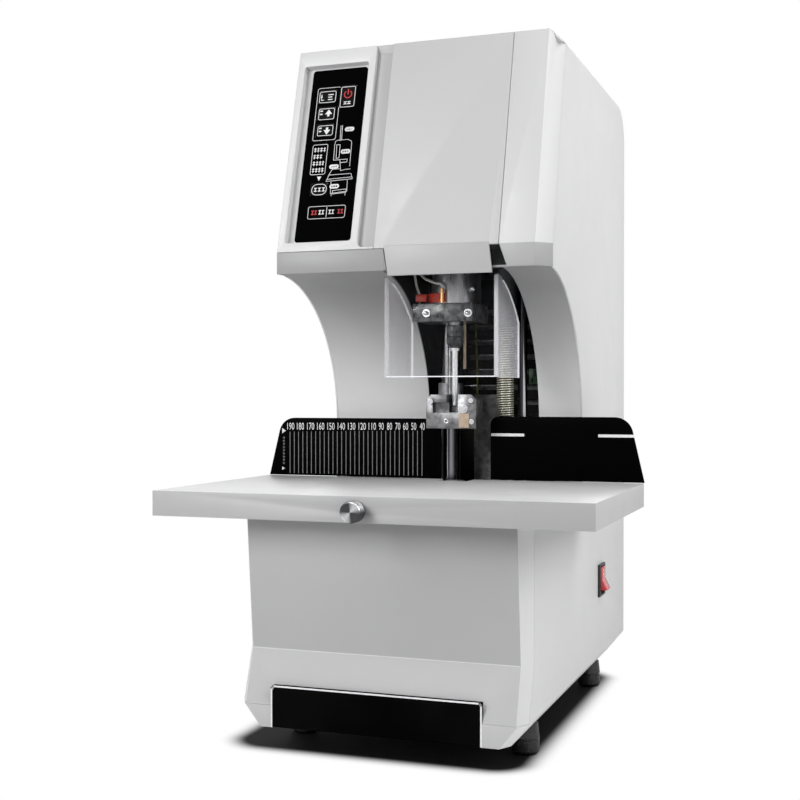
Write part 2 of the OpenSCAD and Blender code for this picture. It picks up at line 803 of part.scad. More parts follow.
runner_t = 1.8;
runner_h = 14;
runner_l = 241;
runner_front = -base_front_y + 15;
module tray_runners() {
    color("silver")
    for (side = [0, 1])
        translate([side ? tray_x + tray_w - tray_in : tray_x + tray_in, 0, 0])
            mirror([side, 0, 0]) {
                box([-runner_t - 0.5, runner_front, floor_z], [-0.5, runner_front + runner_l,
                    floor_z + runner_h]);
                box([-runner_t - 0.5, runner_front, floor_z], [8, runner_front + runner_l,
                    tray_z - fit_gap]);
            }
}

module feet() {
    color("#252525")
    for (sx = [-1, 1], y = feet_y)
        translate([sx * foot_x, y, 0])
            rotate_extrude()
                polygon([[0, 0], [foot_d / 2 - 2, 0], [foot_d / 2, 3], [foot_d / 2, 13],
                         [foot_d / 2 - 1, 13.5], [foot_d / 2 - 1, 14.5], [foot_d / 2, 15],
                         [foot_d / 2 - 1.5, foot_h], [0, foot_h]]);
}

rocker_w = 20;
rocker_h = 25;
rocker_room = 2.5;       // room in the switch above and below the level rocker
module switch_body() {
    y0 = switch_y - switch_w / 2;
    y1 = switch_y + switch_w / 2;
    z0 = switch_z - switch_h / 2;
    z1 = switch_z + switch_h / 2;
    color("#202020")
    difference() {
        union() {
            box([hw, y0, z0], [hw + 2.5, y1, z1]);
            box([hw - 26, y0 + 2.3, z0 + 2.3], [hw, y1 - 2.3, z1 - 2.3]);
        }
        box([hw - 10, switch_y - rocker_w / 2 - fit_gap, switch_z - rocker_h / 2 - rocker_room],
            [hw + 3, switch_y + rocker_w / 2 + fit_gap, switch_z + rocker_h / 2 + rocker_room]);
        rocker_pivot(pivot_r + run_gap, pivot_out + fit_gap);
    }
}

pivot_r = 1.4;
pivot_out = 1.5;         // how far the pivot stands out of each side of the rocker
module rocker_pivot(r, out) {
    translate([hw - 2, switch_y - rocker_w / 2 - out, switch_z])
        rotate([-90, 0, 0]) cylinder(h = rocker_w + 2 * out, r = r);
}

rocker_tilt = 14;
rocker_end = 8.5;        // height of the rocker's ends over its pivot
rocker_dip = 5.5;        // height of its middle over its pivot
module rocker() {
    h = rocker_h / 2;
    color("red") {
        rocker_pivot(pivot_r, pivot_out);
        translate([hw - 2, switch_y - rocker_w / 2, switch_z])
            rotate([0, -rocker_tilt, 0])
                translate([0, rocker_w, 0]) rotate([90, 0, 0])
                    linear_extrude(rocker_w)
                        polygon([[-3, -h + 2], [rocker_end, -h], [rocker_dip, 0], [rocker_end, h],
                            [-3, h - 2], [-5.5, 0]]);
    }
}

inlet_x = 70;
inlet_z = 90;
inlet_w = 32;
inlet_h = 25;
module power_inlet() {
    color("#202020")
    difference() {
        translate([inlet_x, back_y, inlet_z]) rotate([90, 0, 0])
            linear_extrude(24) square([inlet_w - 0.4, inlet_h - 0.4], center = true);
        translate([inlet_x, back_y + 1, inlet_z]) rotate([90, 0, 0])
            linear_extrude(17) square([inlet_w - 8, inlet_h - 8], center = true);
    }
}

// ---------- drill unit ----------
module carriage() {
    top = block_z + block_h;
    color("#505050")
    difference() {
        union() {
            box([block_l, dy - block_front, block_z], [block_r, 4, top]);
            post(column_x, column_y, block_z - 15, bush_top, column_d / 2 + 6);
            box([column_x, 0, block_z], [screw_x + 12, screw_y + 10, block_z + 20]);
            post(rod_x, rod_y, spring_top, block_z + 10, spring_r + 3);
            box([block_r - 2, dy - 26, block_z + 18], [motor_x + 8, -8, motor_base]);
            post(motor_x, motor_y, motor_base - 5, motor_base, motor_r);
        }
        post(dx, dy, block_z - 16, bush_top + 1, housing_d / 2);
        post(column_x, column_y, block_z - 16, bush_top + 1, column_d / 2 + run_gap);
        post(rod_x, rod_y, spring_top - 1, block_z + 30, rod_r + run_gap);
        post(screw_x, screw_y, block_z - 1, block_z + 30, screw_r + run_gap);
    }
}

module spindle_housing() {
    color("silver")
    difference() {
        post(dx, dy, housing_z, housing_top, housing_d / 2);
        post(dx, dy, housing_z - 1, housing_top + 1, 6 + run_gap);
        post(pin_x, pin_y, housing_z - 1, housing_z + 76, pin_rod_r + run_gap);
    }
}
pin_x = 4;
pin_y = -8;
pin_rod_r = 3.2;

module clamp_collar() {
    color("#303030")
    difference() {
        box([collar_l, collar_front, housing_z], [collar_r, collar_back, housing_z + collar_h]);
        post(dx, dy, housing_z - 1, housing_z + collar_h + 1, housing_d / 2);
        box([collar_l - 1, dy - 1, housing_z - 1], [dx - housing_d / 2 + 2, dy + 1,
            housing_z + collar_h + 1]);
    }
}

module set_screws() {
    color("white")
    for (p = [[-7.1, 407.2], [35.8, 406.7]])
        translate([p[0], collar_front, p[1]]) {
            rotate([90, 0, 0]) cylinder(h = 1.2, r = 4);
            translate([0, -3.2, 0]) sphere(2.2, $fn = 24);
        }
}

module heater_insulator() {
    r = housing_d / 2;
    color("red")
    translate([dx, dy, housing_z + collar_h + 1])
        rotate([0, 0, 150]) rotate_extrude(angle = 118)
            translate([r, 0]) square([3, 9]);
}

module heater_stud() {
    color("goldenrod")
    post(dx - 3.5, dy - housing_d / 2 - 5, housing_z + collar_h, housing_z + collar_h + 14, 2);
}

module heater_leads() {
    y = dy - 18;
    stud = [dx - 3.5, dy - housing_d / 2 - 5, housing_z + collar_h + 14];
    color("ivory") {
        tube_run([[-23, y, block_z], [-23, y, 446], [-21, y - 1, 436], [-17, y - 2, 426],
                  [-17, y - 2, housing_z + collar_h]], 1.3);
        tube_run([[-18, y - 5, block_z], [-18, y - 5, 449], [-8, stud[1] + 2, 441],
                  [3, stud[1], 436.5], stud + [-2, 0, 5], stud + [0, 0, 3], stud], 1.3);
    }
}

module depth_rod() {
    color("tan") post(20, -12, 353, housing_z, 1.5);
}

module drill_motor() {
    color("#404040")
    post(motor_x, motor_y, motor_base, belt_z - 6, motor_r);
}

module belt_path(grow) {
    hull() {
        translate([dx, dy]) circle(pulley_r + grow, $fn = 32);
        translate([motor_x, motor_y]) circle(motor_pulley_r + grow, $fn = 32);
    }
}

module drive_belt() {
    color("black")
    translate([0, 0, belt_z + 1])
        linear_extrude(belt_h - 2)
            difference() {
                belt_path(fit_gap + belt_t);
                belt_path(fit_gap);
            }
}

module spindle_shaft() {
    color("silver") {
        post(dx, dy, housing_z - 3, belt_z + belt_h, 6);
        post(dx, dy, belt_z, belt_z + belt_h, pulley_r);
    }
}

module chuck() {
    top = housing_z - 3;
    color("#383838")
    difference() {
        union() {
            post(dx, dy, top - chuck_l + 4, top, chuck_d / 2);
            translate([dx, dy, top - chuck_l])
                cylinder(h = 4, r1 = chuck_d / 2 - 2.5, r2 = chuck_d / 2);
        }
        post(dx, dy, top - chuck_l - 1, top - 10, bit_d / 2);
    }
}

module drill_bit() {
    top = housing_z - 13;
    color("white")
    difference() {
        union() {
            post(dx, dy, bit_tip_z, top, bit_d / 2);
            post(dx, dy, housing_z - 3 - chuck_l - 3.5, housing_z - 3 - chuck_l - 0.1, bit_d / 2 + 1.6);
        }
        post(dx, dy, bit_tip_z - 1, top - 15, bit_d / 2 - 1);
    }
}

module motor_pulley() {
    color("silver") {
        post(motor_x, motor_y, belt_z - 5.8, belt_z + belt_h, 4);
        post(motor_x, motor_y, belt_z, belt_z + belt_h, motor_pulley_r);
    }
}

presser_l = dx - presser_w / 2 - 0.5;
presser_front = dy - 12;
presser_back = -12;
module presser_block() {
    top = presser_z + presser_h;
    c = 5;
    color("lightgray")
    difference() {
        union() {
            translate([presser_l, presser_back, presser_z])
                rotate([90, 0, 0]) linear_extrude(presser_back - presser_front)
                    polygon([[0, 0], [presser_w, 0], [presser_w, presser_h - c],
                             [presser_w - c, presser_h], [c, presser_h], [0, presser_h - c]]);
            box([-5, presser_back - 1, presser_z], [11, column_y, top]);
            post(column_x, column_y, presser_z, top + 12, 13);
            post(pin_x, pin_y, top - 1, housing_z + 40, pin_rod_r);
        }
        post(column_x, column_y, presser_z - 1, top + 20, column_d / 2 + run_gap);
        post(dx, dy, presser_z - 1, top + 1, bit_d / 2 + 2.2);
        box([dx - 5, presser_front - 1, presser_z + 16], [dx + 6.5, dy, top + 1]);
        box([presser_l + 7, presser_front - 1, presser_z + 16],
            [dx + 6.5, presser_front + 9, presser_z + 26]);
    }
}

screw_head_r = 2.6;
corner_screw = [4.2, 7];  // from the presser's lower right corner
module wear_plate() {
    color("tan")
    box([dx + 8, presser_front - 1, presser_z + 1],
        [presser_l + presser_w - corner_screw[0] - screw_head_r - fit_gap, presser_front,
        presser_z + 15]);
}

module presser_screws() {
    l = presser_l;
    r = presser_l + presser_w;
    color("white") {
        for (p = [[l + 5, presser_h - 7], [r - 5, presser_h - 6], [r - corner_screw[0], corner_screw[1]]])
            translate([p[0], presser_front, presser_z + p[1]])
                rotate([90, 0, 0]) cylinder(h = 1.6, r = screw_head_r);
        translate([r - 13, presser_front, presser_z + 20])
            rotate([90, 0, 0]) cylinder(h = 1.2, r = 4.6);
        translate([r - 13, presser_front - 1.2, presser_z + 20])
            rotate([90, 0, 0]) cylinder(h = 1.6, r = 2.8);
    }
}

module lift_screw() {
    color("silver") post(screw_x, screw_y, bed_top - 7.5, upper_jaw_z + upper_jaw_t + 11, screw_r);
}

// ---------- fences ----------
fence_lift = 0.3;        // height of the fences above the table
fence_rear = -fence_y + fence_t;
fence_corner_r = 18;
fence_corner_in = 29;    // from a fence's end to the centre of its upper corner
module fence_right() {
    w = table_w / 2;
    h = fence_h;
    color("#151515")
    translate([0, fence_rear, table_z + fence_lift])
        rotate([90, 0, 0]) linear_extrude(fence_t)
            polygon(concat([[fence_gap_r, 0], [w, 0]],
                arc([w - fence_corner_in, h - fence_corner_r], fence_corner_r, 15, 90, 8),
                arc([fence_gap_r + 8, h - 8], 8, 90, 180, 6)));
}

module fence_left() {
    w = table_w / 2;
    h = fence_h - 2.5;
    color("#151515")
    translate([0, fence_rear, table_z + fence_lift])
        rotate([90, 0, 0]) linear_extrude(fence_t)
            polygon(concat([[-w, 0], [fence_gap_l, 0], [fence_gap_l, h]],
                arc([-w + fence_corner_in, h - fence_corner_r], fence_corner_r, 90, 165, 8)));
}

module fence_carriage() {
    z0 = bed_top + 3.5;
    z1 = table_z - table_t - 3;
    color("dimgray")
    difference() {
        union() {
            box([-rack_half, rack_y, z0], [rack_half, rack_y + rack_d, z1]);
            for (x = [-arm_x, arm_x - arm_w]) {
                box([x, rack_y, z0], [x + arm_w, fence_rear + arm_t, z1]);
                box([x, fence_rear, z0], [x + arm_w, fence_rear + arm_t, table_z + fence_h - 15]);
            }
        }
        translate([knob_x, rack_y - 1, knob_z])
            rotate([-90, 0, 0]) cylinder(h = rack_d + 2, r = screw_small_r + run_gap);
    }
}

module adjust_knob() {
    color("silver")
    translate([knob_x, -table_front_y - 1 - knob_l, knob_z])
        rotate([-90, 0, 0]) {
            rotate_extrude()
                polygon([[0, 0], [knob_d / 2 - 1, 0], [knob_d / 2, 1], [knob_d / 2, knob_l],
                         [0, knob_l]]);
            cylinder(h = knob_l + 1 + table_front_y + rack_y + rack_d + 4, r = screw_small_r);
        }
}

tray_corner = 6;
tray_box_h = 28;
module dust_tray() {
    l = tray_x + tray_in;
    r = tray_x + tray_w - tray_in;
    front = -base_front_y + tray_face_t;
    z1 = tray_z + tray_box_h;
    color("#101010") {
        translate([tray_x + tray_w / 2, front, foot_h + 0.5])
            rotate([90, 0, 0]) linear_extrude(tray_face_t)
                difference() {
                    translate([0, tray_h / 2 - tray_corner]) round_rect(tray_w, tray_h + 2 * tray_corner,
                        tray_corner);
                    translate([0, -tray_h]) square([2 * tray_w, 2 * tray_h], center = true);
                }
        difference() {
            box([l, front, tray_z], [r, front + tray_l, z1]);
            box([l + tray_wall, front + tray_wall, tray_z + tray_wall],
                [r - tray_wall, front + tray_l - tray_wall, z1 + 1]);
        }
    }
}

base_pan();
base_front();
side_panel_left();
side_panel_right();
rear_cover();
top_cover();
throat_cover();
control_bezel();
membrane_panel();
head_trim();
hinge_leaf();
bay_liner();
main_frame();
bed_plate();
work_table();
cutting_die();
chip_chute();
guide_column();
spring_rod();
return_spring();
lift_motor();
shield();
rear_bracket();
earth_lead();
power_supply();
control_board();
tray_runners();
feet();
switch_body();
power_inlet();
front_cover();
carriage();
spindle_housing();
clamp_collar();
set_screws();
heater_insulator();
heater_stud();
heater_leads();
depth_rod();
drill_motor();
drive_belt();
spindle_shaft();
chuck();
drill_bit();
motor_pulley();
presser_block();
wear_plate();
presser_screws();
lift_screw();
fence_left();
fence_right();
fence_carriage();
adjust_knob();
dust_tray();
rocker();
key_reset();
key_up();
key_down();
key_start();
key_mode();
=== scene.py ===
"""The looks of a document riveting machine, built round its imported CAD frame.

The machine stands on the desk at Z = 0 and its front faces -Y. Blender's units are metres. Drawing on the
control panel, the ruler and the lathe profiles is in millimetres, and mm() turns it into metres.
"""

import json
import math

import bmesh
import bpy
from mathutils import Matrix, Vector

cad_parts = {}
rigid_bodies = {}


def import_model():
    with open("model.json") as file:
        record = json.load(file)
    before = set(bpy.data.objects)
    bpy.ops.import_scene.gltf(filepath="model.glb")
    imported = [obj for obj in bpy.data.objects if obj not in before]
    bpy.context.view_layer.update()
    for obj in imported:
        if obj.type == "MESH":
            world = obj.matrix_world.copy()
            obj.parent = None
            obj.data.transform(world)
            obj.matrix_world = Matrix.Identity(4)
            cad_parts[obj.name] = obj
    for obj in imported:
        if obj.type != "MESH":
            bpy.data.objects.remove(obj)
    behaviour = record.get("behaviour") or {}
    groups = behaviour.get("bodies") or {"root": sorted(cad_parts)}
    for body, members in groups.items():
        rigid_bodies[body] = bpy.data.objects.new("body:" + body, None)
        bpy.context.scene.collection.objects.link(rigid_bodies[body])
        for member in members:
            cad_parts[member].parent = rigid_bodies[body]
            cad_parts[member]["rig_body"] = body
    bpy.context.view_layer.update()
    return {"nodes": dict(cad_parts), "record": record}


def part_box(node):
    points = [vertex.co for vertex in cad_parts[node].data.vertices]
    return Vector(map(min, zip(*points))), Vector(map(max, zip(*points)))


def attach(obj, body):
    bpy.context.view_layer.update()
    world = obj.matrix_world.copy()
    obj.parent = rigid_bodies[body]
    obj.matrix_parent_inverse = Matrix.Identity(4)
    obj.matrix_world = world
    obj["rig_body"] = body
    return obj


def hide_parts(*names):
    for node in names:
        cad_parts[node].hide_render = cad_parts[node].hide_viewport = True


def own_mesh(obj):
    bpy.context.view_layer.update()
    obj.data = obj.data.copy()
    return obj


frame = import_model()
NODES = frame["nodes"]
MM = 0.001


# ---------- places taken from the CAD nodes ----------
# low, high and middle give the corners and the middle of a node's box, in metres.
def low(node):
    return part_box(node)[0]


def high(node):
    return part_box(node)[1]


def middle(node):
    lo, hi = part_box(node)
    return (lo + hi) / 2


HEAD_FRONT = low("throat_cover").y
FACE_Z = 464 * MM  # where the slanted face of the head starts
FACE_RUN, FACE_RISE = 56, 206  # how far the slanted face goes back and up
FACE_LEAN = math.atan2(FACE_RUN, FACE_RISE)
FACE_ORIGIN = Vector((0, HEAD_FRONT, FACE_Z))
FACE_IN = Vector((0, math.cos(FACE_LEAN), -math.sin(FACE_LEAN)))
FACE_UP = Vector((0, math.sin(FACE_LEAN), math.cos(FACE_LEAN)))
MEMBRANE_DEPTH = 5.5
KEY_DEPTH = MEMBRANE_DEPTH - 0.4
INK = 0.06  # height of printed ink above its surface, in millimetres
DRILL = Vector((13.5 * MM, -24 * MM, 0))  # a point on its axis
CREASE_Z = 96  # height of the crease across the base's front


def mm(x, y, z):
    """A point given in millimetres."""
    return Vector((x, y, z)) * MM


def on_face(x, up, depth):
    """A point on the slanted face: across, up the face and into the head, in millimetres."""
    return FACE_ORIGIN + Vector((x * MM, 0, 0)) + FACE_IN * depth * MM + FACE_UP * up * MM


# ---------- materials ----------
MIX_FACTOR, MIX_FIRST, MIX_SECOND, MIX_RESULT = 0, 6, 7, 2  # sockets of a colour Mix node


def new_node(tree, kind, **values):
    """A shader node. A value goes to the socket of its name, or else to the node's setting."""
    made = tree.nodes.new("ShaderNode" + kind)
    for key, value in values.items():
        if key in made.inputs:
            made.inputs[key].default_value = value
        else:
            setattr(made, key, value)
    return made


class Finish:
    """A Principled material. Values that are the same all over it go to the shader's own sockets."""

    def __init__(self, name, colour, roughness, metallic=0.0, **sockets):
        self.material = bpy.data.materials.new(name)
        self.material.use_nodes = True
        self.tree = self.material.node_tree
        self.shader = self.tree.nodes["Principled BSDF"]
        self.colour, self.roughness = colour, roughness
        self.set("Base Color", (*colour, 1))
        self.set("Roughness", roughness)
        self.set("Metallic", metallic)
        for socket, value in sockets.items():
            self.set(socket.replace("_", " "), value)
        self.normal = None

    def set(self, socket, value):
        self.shader.inputs[socket].default_value = value

    def node(self, kind, **values):
        return new_node(self.tree, kind, **values)

    def link(self, out, into):
        self.tree.links.new(out, into)

    def noise(self, scale, detail=3.0, stretch=(1, 1, 1), seed=0.0):
        """Noise in the object's own space, so it stays on the piece when the piece moves."""
        coordinates = self.node("TexCoord")
        mapping = self.node("Mapping", Scale=stretch, Location=(seed, seed, seed))
        texture = self.node("TexNoise", Scale=scale, Detail=detail)
        self.link(coordinates.outputs["Object"], mapping.inputs["Vector"])
        self.link(mapping.outputs["Vector"], texture.inputs["Vector"])
        return texture.outputs["Fac"]

    def between(self, fac, low_at, high_at, low_value, high_value):
        """One range of a value mapped to another, and held at its ends."""
        ranged = self.node("MapRange")
        for socket, value in (("From Min", low_at), ("From Max", high_at),
                              ("To Min", low_value), ("To Max", high_value)):
            ranged.inputs[socket].default_value = value
        self.link(fac, ranged.inputs["Value"])
        return ranged.outputs["Result"]

    def vary_colour(self, other, scale, stretch=(1, 1, 1), at=(0.35, 0.65), detail=3.0):
        """The colour drifts between the base colour and another one."""
        fac = self.between(self.noise(scale, detail, stretch, 3.7), at[0], at[1], 0, 1)
        self.mix_in(fac, other)
        return self

    def mix_in(self, fac, other):
        """Another colour over the colour so far, by fac."""
        mix = self.node("Mix", data_type="RGBA")
        into = self.shader.inputs["Base Color"]
        mix.inputs[MIX_FIRST].default_value = (*self.colour, 1)
        mix.inputs[MIX_SECOND].default_value = (*other, 1)
        if into.is_linked:
            self.link(into.links[0].from_socket, mix.inputs[MIX_FIRST])
        self.link(fac, mix.inputs[MIX_FACTOR])
        self.link(mix.outputs[MIX_RESULT], into)

    def shade_along(self, axis, start, end, other):
        """The colour runs into another one along an axis, between two places in metres."""
        split = self.node("SeparateXYZ")
        self.link(self.node("TexCoord").outputs["Object"], split.inputs[0])
        self.mix_in(self.between(split.outputs[axis], start, end, 0, 1), other)

    def vary_roughness(self, spread, scale, stretch=(1, 1, 1)):
        """The roughness drifts by spread either way."""
        fac = self.noise(scale, 4.0, stretch, 9.1)
        made = self.between(fac, 0.3, 0.7, self.roughness - spread, self.roughness + spread)
        self.link(made, self.shader.inputs["Roughness"])
        return self

    def bump(self, height, scale, stretch=(1, 1, 1), detail=2.0):
        """Fine relief: height in metres, scale in bumps per metre."""
        return self.relief(self.noise(scale, detail, stretch), height)

    def relief(self, fac, height):
        """Relief over the relief so far: height in metres."""
        made = self.node("Bump", Distance=height, Strength=1.0)
        self.link(fac, made.inputs["Height"])
        if self.normal:
            self.link(self.normal, made.inputs["Normal"])
        self.normal = made.outputs["Normal"]
        self.link(self.normal, self.shader.inputs["Normal"])
        return self

    def soft_edges(self, radius):
        """Edges catch the light as if they were rounded. It comes before any relief."""
        made = self.node("Bevel", Radius=radius)
        made.samples = 4
        self.normal = made.outputs["Normal"]
        self.link(self.normal, self.shader.inputs["Normal"])
        return self

    def worn_edges(self, bare, start=0.53, end=0.62):
        """Outer edges show a lighter tone, broken up by noise."""
        geometry = self.node("NewGeometry")
        edge = self.between(geometry.outputs["Pointiness"], start, end, 0, 1)
        patches = self.between(self.noise(160, 4.0), 0.35, 0.6, 0, 1)
        both = self.node("Math", operation="MULTIPLY")
        self.link(edge, both.inputs[0])
        self.link(patches, both.inputs[1])
        self.mix_in(both.outputs[0], bare)
        return self

    def rings(self, centre, axis, pitch, height):
        """Fine turning marks round an axis: centre in metres, pitch of the marks in metres."""
        coordinates = self.node("TexCoord")
        moved = self.node("VectorMath", operation="SUBTRACT")
        moved.inputs[1].default_value = centre
        flat = self.node("VectorMath", operation="MULTIPLY")
        flat.inputs[1].default_value = [0 if a else 1 for a in axis]
        length = self.node("VectorMath", operation="LENGTH")
        wave = self.node("TexNoise", noise_dimensions="1D", Scale=1 / pitch, Detail=2.0)
        self.link(coordinates.outputs["Object"], moved.inputs[0])
        self.link(moved.outputs[0], flat.inputs[0])
        self.link(flat.outputs[0], length.inputs[0])
        self.link(length.outputs["Value"], wave.inputs["W"])
        return self.relief(wave.outputs["Fac"], height)


def coated(name, colour):
    """Powder coat on sheet steel: a faint orange peel and slow drift in tone."""
    finish = Finish(name, colour, 0.42, Specular_IOR_Level=0.4)
    finish.vary_colour([c * 0.965 for c in colour], 5.0)
    finish.vary_roughness(0.06, 30)
    finish.bump(0.00004, 520, detail=1.0)
    return finish


def moulded(name, colour, roughness=0.5):
    """Moulded plastic with a fine sparked texture."""
    finish = Finish(name, colour, roughness, Specular_IOR_Level=0.4)
    finish.vary_colour([c * 0.97 for c in colour], 7.0)
    finish.vary_roughness(0.05, 40)
    finish.soft_edges(0.0008)
    finish.bump(0.00002, 1500)
    return finish


def brushed(name, colour, roughness, stretch, radius=0.0004):
    """Metal with fine straight marks: stretch is small along the marks."""
    finish = Finish(name, colour, roughness, metallic=1.0)
    finish.soft_edges(radius)
    finish.vary_colour([c * 0.86 for c in colour], 60, stretch)
    finish.vary_roughness(0.1, 120, stretch)
    finish.bump(0.00003, 900, stretch)
    return finish


SHELL = coated("shell_coat", (0.69, 0.69, 0.695))
# Painted light and shade: the base's sides, the bevel under them, the panels above and below the crease and the front
# corners are lighter and darker tones of the one shell paint.
SHELL_BASE_SHADE = coated("base_side_painted_shade", (0.63, 0.63, 0.635))
BEVEL_PAINTED_LIGHT = coated("base_bevel_painted_light", (0.8, 0.8, 0.805))
PANEL = coated("panel_upper_painted_shade", (0.405, 0.405, 0.41))
PANEL_LOW = coated("panel_lower_painted_light", (0.53, 0.53, 0.535))
# Painted light and shade: the throat is given a lighter tone than the shell, and is painted darker upwards.
THROAT = coated("throat_painted_light_and_shade", (0.86, 0.86, 0.865))
THROAT.shade_along("Z", 0.28, 0.43, (0.32, 0.32, 0.325))  # painted shade, darker upwards, away from the light
HEAD = moulded("head_plastic", (0.69, 0.69, 0.695), 0.45)
# Painted shade: the band, the groove and the recess walls are darker tones of the head's plastic, where faces turn
# away from the light.
BAND_PAINTED_SHADE = moulded("head_band_painted_shade", (0.25, 0.25, 0.255), 0.45)
GROOVE = moulded("head_groove_painted_shade", (0.57, 0.57, 0.575), 0.45)
RECESS = moulded("head_recess_painted_shade", (0.26, 0.26, 0.265), 0.45)
STRIP = moulded("head_strip", (0.66, 0.66, 0.665), 0.45)
# Painted light and shade: the strip's foot and the door's foot in darker tones, the corner facet in a lighter one.
STRIP_FOOT_SHADE = moulded("head_strip_foot_painted_shade", (0.42, 0.42, 0.425), 0.45)
FACET_PAINTED_LIGHT = moulded("head_facet_painted_light", (0.74, 0.74, 0.745), 0.45)
DOOR = moulded("door_plastic", (0.575, 0.575, 0.58), 0.45)
DOOR_FOOT_SHADE = moulded("door_foot_painted_shade", (0.46, 0.46, 0.465), 0.45)
TABLE_COAT = coated("table_top_painted_shade", (0.85, 0.85, 0.855))
TABLE_COAT.shade_along("Y", -0.2, -0.03, (0.66, 0.66, 0.665))  # painted shade, darker towards the fences
# Painted light and shade: the rim and the ends in darker tones of the table's paint, and a near-white tone for the
# painted highlights along its top edges.
TABLE_RIM_SHADE = coated("table_rim_painted_shade", (0.43, 0.43, 0.435))
TABLE_SIDE_SHADE = coated("table_side_painted_shade", (0.54, 0.54, 0.545))
TABLE_EDGE = coated("table_edge_painted_highlight", (0.93, 0.93, 0.93))
# Painted light: the front corner facets in a lighter tone of the shell paint.
CORNER_PAINTED_LIGHT = coated("corner_painted_light", (0.76, 0.76, 0.765))

FILM = Finish("membrane_film", (0.002, 0.002, 0.002), 0.6, Specular_IOR_Level=0.0)
FILM.vary_roughness(0.08, 25).bump(0.00001, 700)
ACRYLIC = Finish("black_acrylic", (0.001, 0.001, 0.001), 0.5, Specular_IOR_Level=0.01)
ACRYLIC.soft_edges(0.0003).vary_roughness(0.06, 18).bump(0.00001, 300)
KEY = Finish("key_film", (0.003, 0.003, 0.003), 0.45, Specular_IOR_Level=0.05)
KEY.soft_edges(0.0004).vary_roughness(0.06, 60).bump(0.00001, 900)
TRAY = Finish("tray_front", (0.001, 0.001, 0.001), 0.6, Specular_IOR_Level=0.01)
TRAY.soft_edges(0.0005).vary_colour((0.003, 0.003, 0.003), 12).vary_roughness(0.07, 60).bump(0.00002, 1200)
BLACK = Finish("black_plastic", (0.012, 0.012, 0.013), 0.5)
BLACK.soft_edges(0.0005).vary_colour((0.022, 0.022, 0.022), 12).vary_roughness(0.07, 60).bump(0.00002, 1200)
INK_WHITE = Finish("ink_white", (0.86, 0.86, 0.86), 0.6)
INK_WHITE.vary_colour((0.74, 0.74, 0.76), 250)
INK_GREY = Finish("ink_grey", (0.2, 0.2, 0.205), 0.6)
INK_GREY.vary_colour((0.15, 0.15, 0.155), 250)
INK_RED = Finish("ink_red", (0.55, 0.015, 0.015), 0.5)
INK_RED.vary_colour((0.38, 0.01, 0.01), 250)
RED = Finish("red_rocker", (0.72, 0.02, 0.03), 0.25, Specular_IOR_Level=0.6, Coat_Weight=0.4)
RED.soft_edges(0.0008).vary_colour((0.55, 0.012, 0.02), 120).vary_roughness(0.05, 90).bump(0.00001, 900)
SILICONE_RED = Finish("red_insulator", (0.62, 0.035, 0.012), 0.35)
SILICONE_RED.soft_edges(0.0006).vary_colour((0.35, 0.02, 0.008), 160).vary_roughness(0.08, 80).bump(0.00006, 400)
RUBBER = Finish("foot_rubber", (0.006, 0.006, 0.006), 0.28)
RUBBER.soft_edges(0.0006).vary_colour((0.016, 0.016, 0.016), 30).vary_roughness(0.08, 50).bump(0.00004, 700)
BELT = Finish("belt_rubber", (0.02, 0.02, 0.02), 0.7)
BELT.vary_colour((0.035, 0.033, 0.03), 90).bump(0.00005, 900)

# Painted reflection: long dark streaks down the column's colour stand for the dark things that it mirrors.
COLUMN = Finish("column_steel_painted_reflection", (0.55, 0.55, 0.57), 0.2, metallic=1.0)
COLUMN.vary_colour((0.03, 0.03, 0.033), 260, (1, 1, 0.004), (0.42, 0.56), 1.0).vary_roughness(0.06, 60, (1, 1, 0.05))
COLUMN.bump(0.000003, 400, (1, 1, 0.05))
POLISHED = Finish("polished_steel", (0.62, 0.62, 0.64), 0.16, metallic=1.0)
POLISHED.soft_edges(0.0004).vary_colour((0.68, 0.68, 0.7), 40).vary_roughness(0.05, 60).bump(0.000004, 400)
BIT = Finish("bit_steel", (0.85, 0.85, 0.87), 0.24, metallic=0.7)
BIT.vary_roughness(0.06, 90, (1, 1, 0.1)).vary_colour((0.6, 0.6, 0.62), 200, (1, 1, 0.05)).bump(0.000004, 900)
BRIGHT = brushed("bright_steel", (0.42, 0.42, 0.44), 0.3, (1, 1, 0.06))
MILLED = brushed("milled_aluminium", (0.2, 0.2, 0.205), 0.42, (0.3, 1, 1), 0.0006)
MILLED.vary_colour((0.07, 0.07, 0.072), 110, at=(0.42, 0.7)).bump(0.00015, 300)
BLACKENED = Finish("blackened_steel", (0.014, 0.016, 0.018), 0.32, metallic=0.3)
BLACKENED.soft_edges(0.0007).vary_colour((0.019, 0.021, 0.023), 45).vary_roughness(0.1, 70)
BLACKENED.bump(0.00003, 900, (0.1, 1, 1)).worn_edges((0.3, 0.3, 0.3))
CASTING = Finish("painted_casting", (0.07, 0.073, 0.078), 0.6)
CASTING.soft_edges(0.0012).vary_colour((0.1, 0.1, 0.105), 30).vary_roughness(0.08, 60).bump(0.00015, 260)
CASTING.worn_edges((0.2, 0.2, 0.2))
LINER = Finish("liner_paint", (0.003, 0.003, 0.003), 0.6, Specular_IOR_Level=0.12)
LINER.vary_colour((0.007, 0.007, 0.006), 20).vary_roughness(0.08, 60).bump(0.00004, 500)
SPRING = Finish("spring_wire", (0.72, 0.7, 0.58), 0.3, metallic=0.5)
SPRING.vary_colour((0.42, 0.4, 0.3), 50).vary_roughness(0.08, 120).bump(0.00001, 1500)
BRASS = Finish("machined_brass", (0.83, 0.48, 0.2), 0.25, metallic=1.0)
BRASS.soft_edges(0.0004).vary_colour((0.7, 0.36, 0.14), 150).vary_roughness(0.07, 120).bump(0.00002, 900)
LEAD = Finish("lead_sleeve", (0.62, 0.62, 0.58), 0.5)
LEAD.vary_colour((0.5, 0.5, 0.46), 200).vary_roughness(0.08, 120).bump(0.00004, 1600)
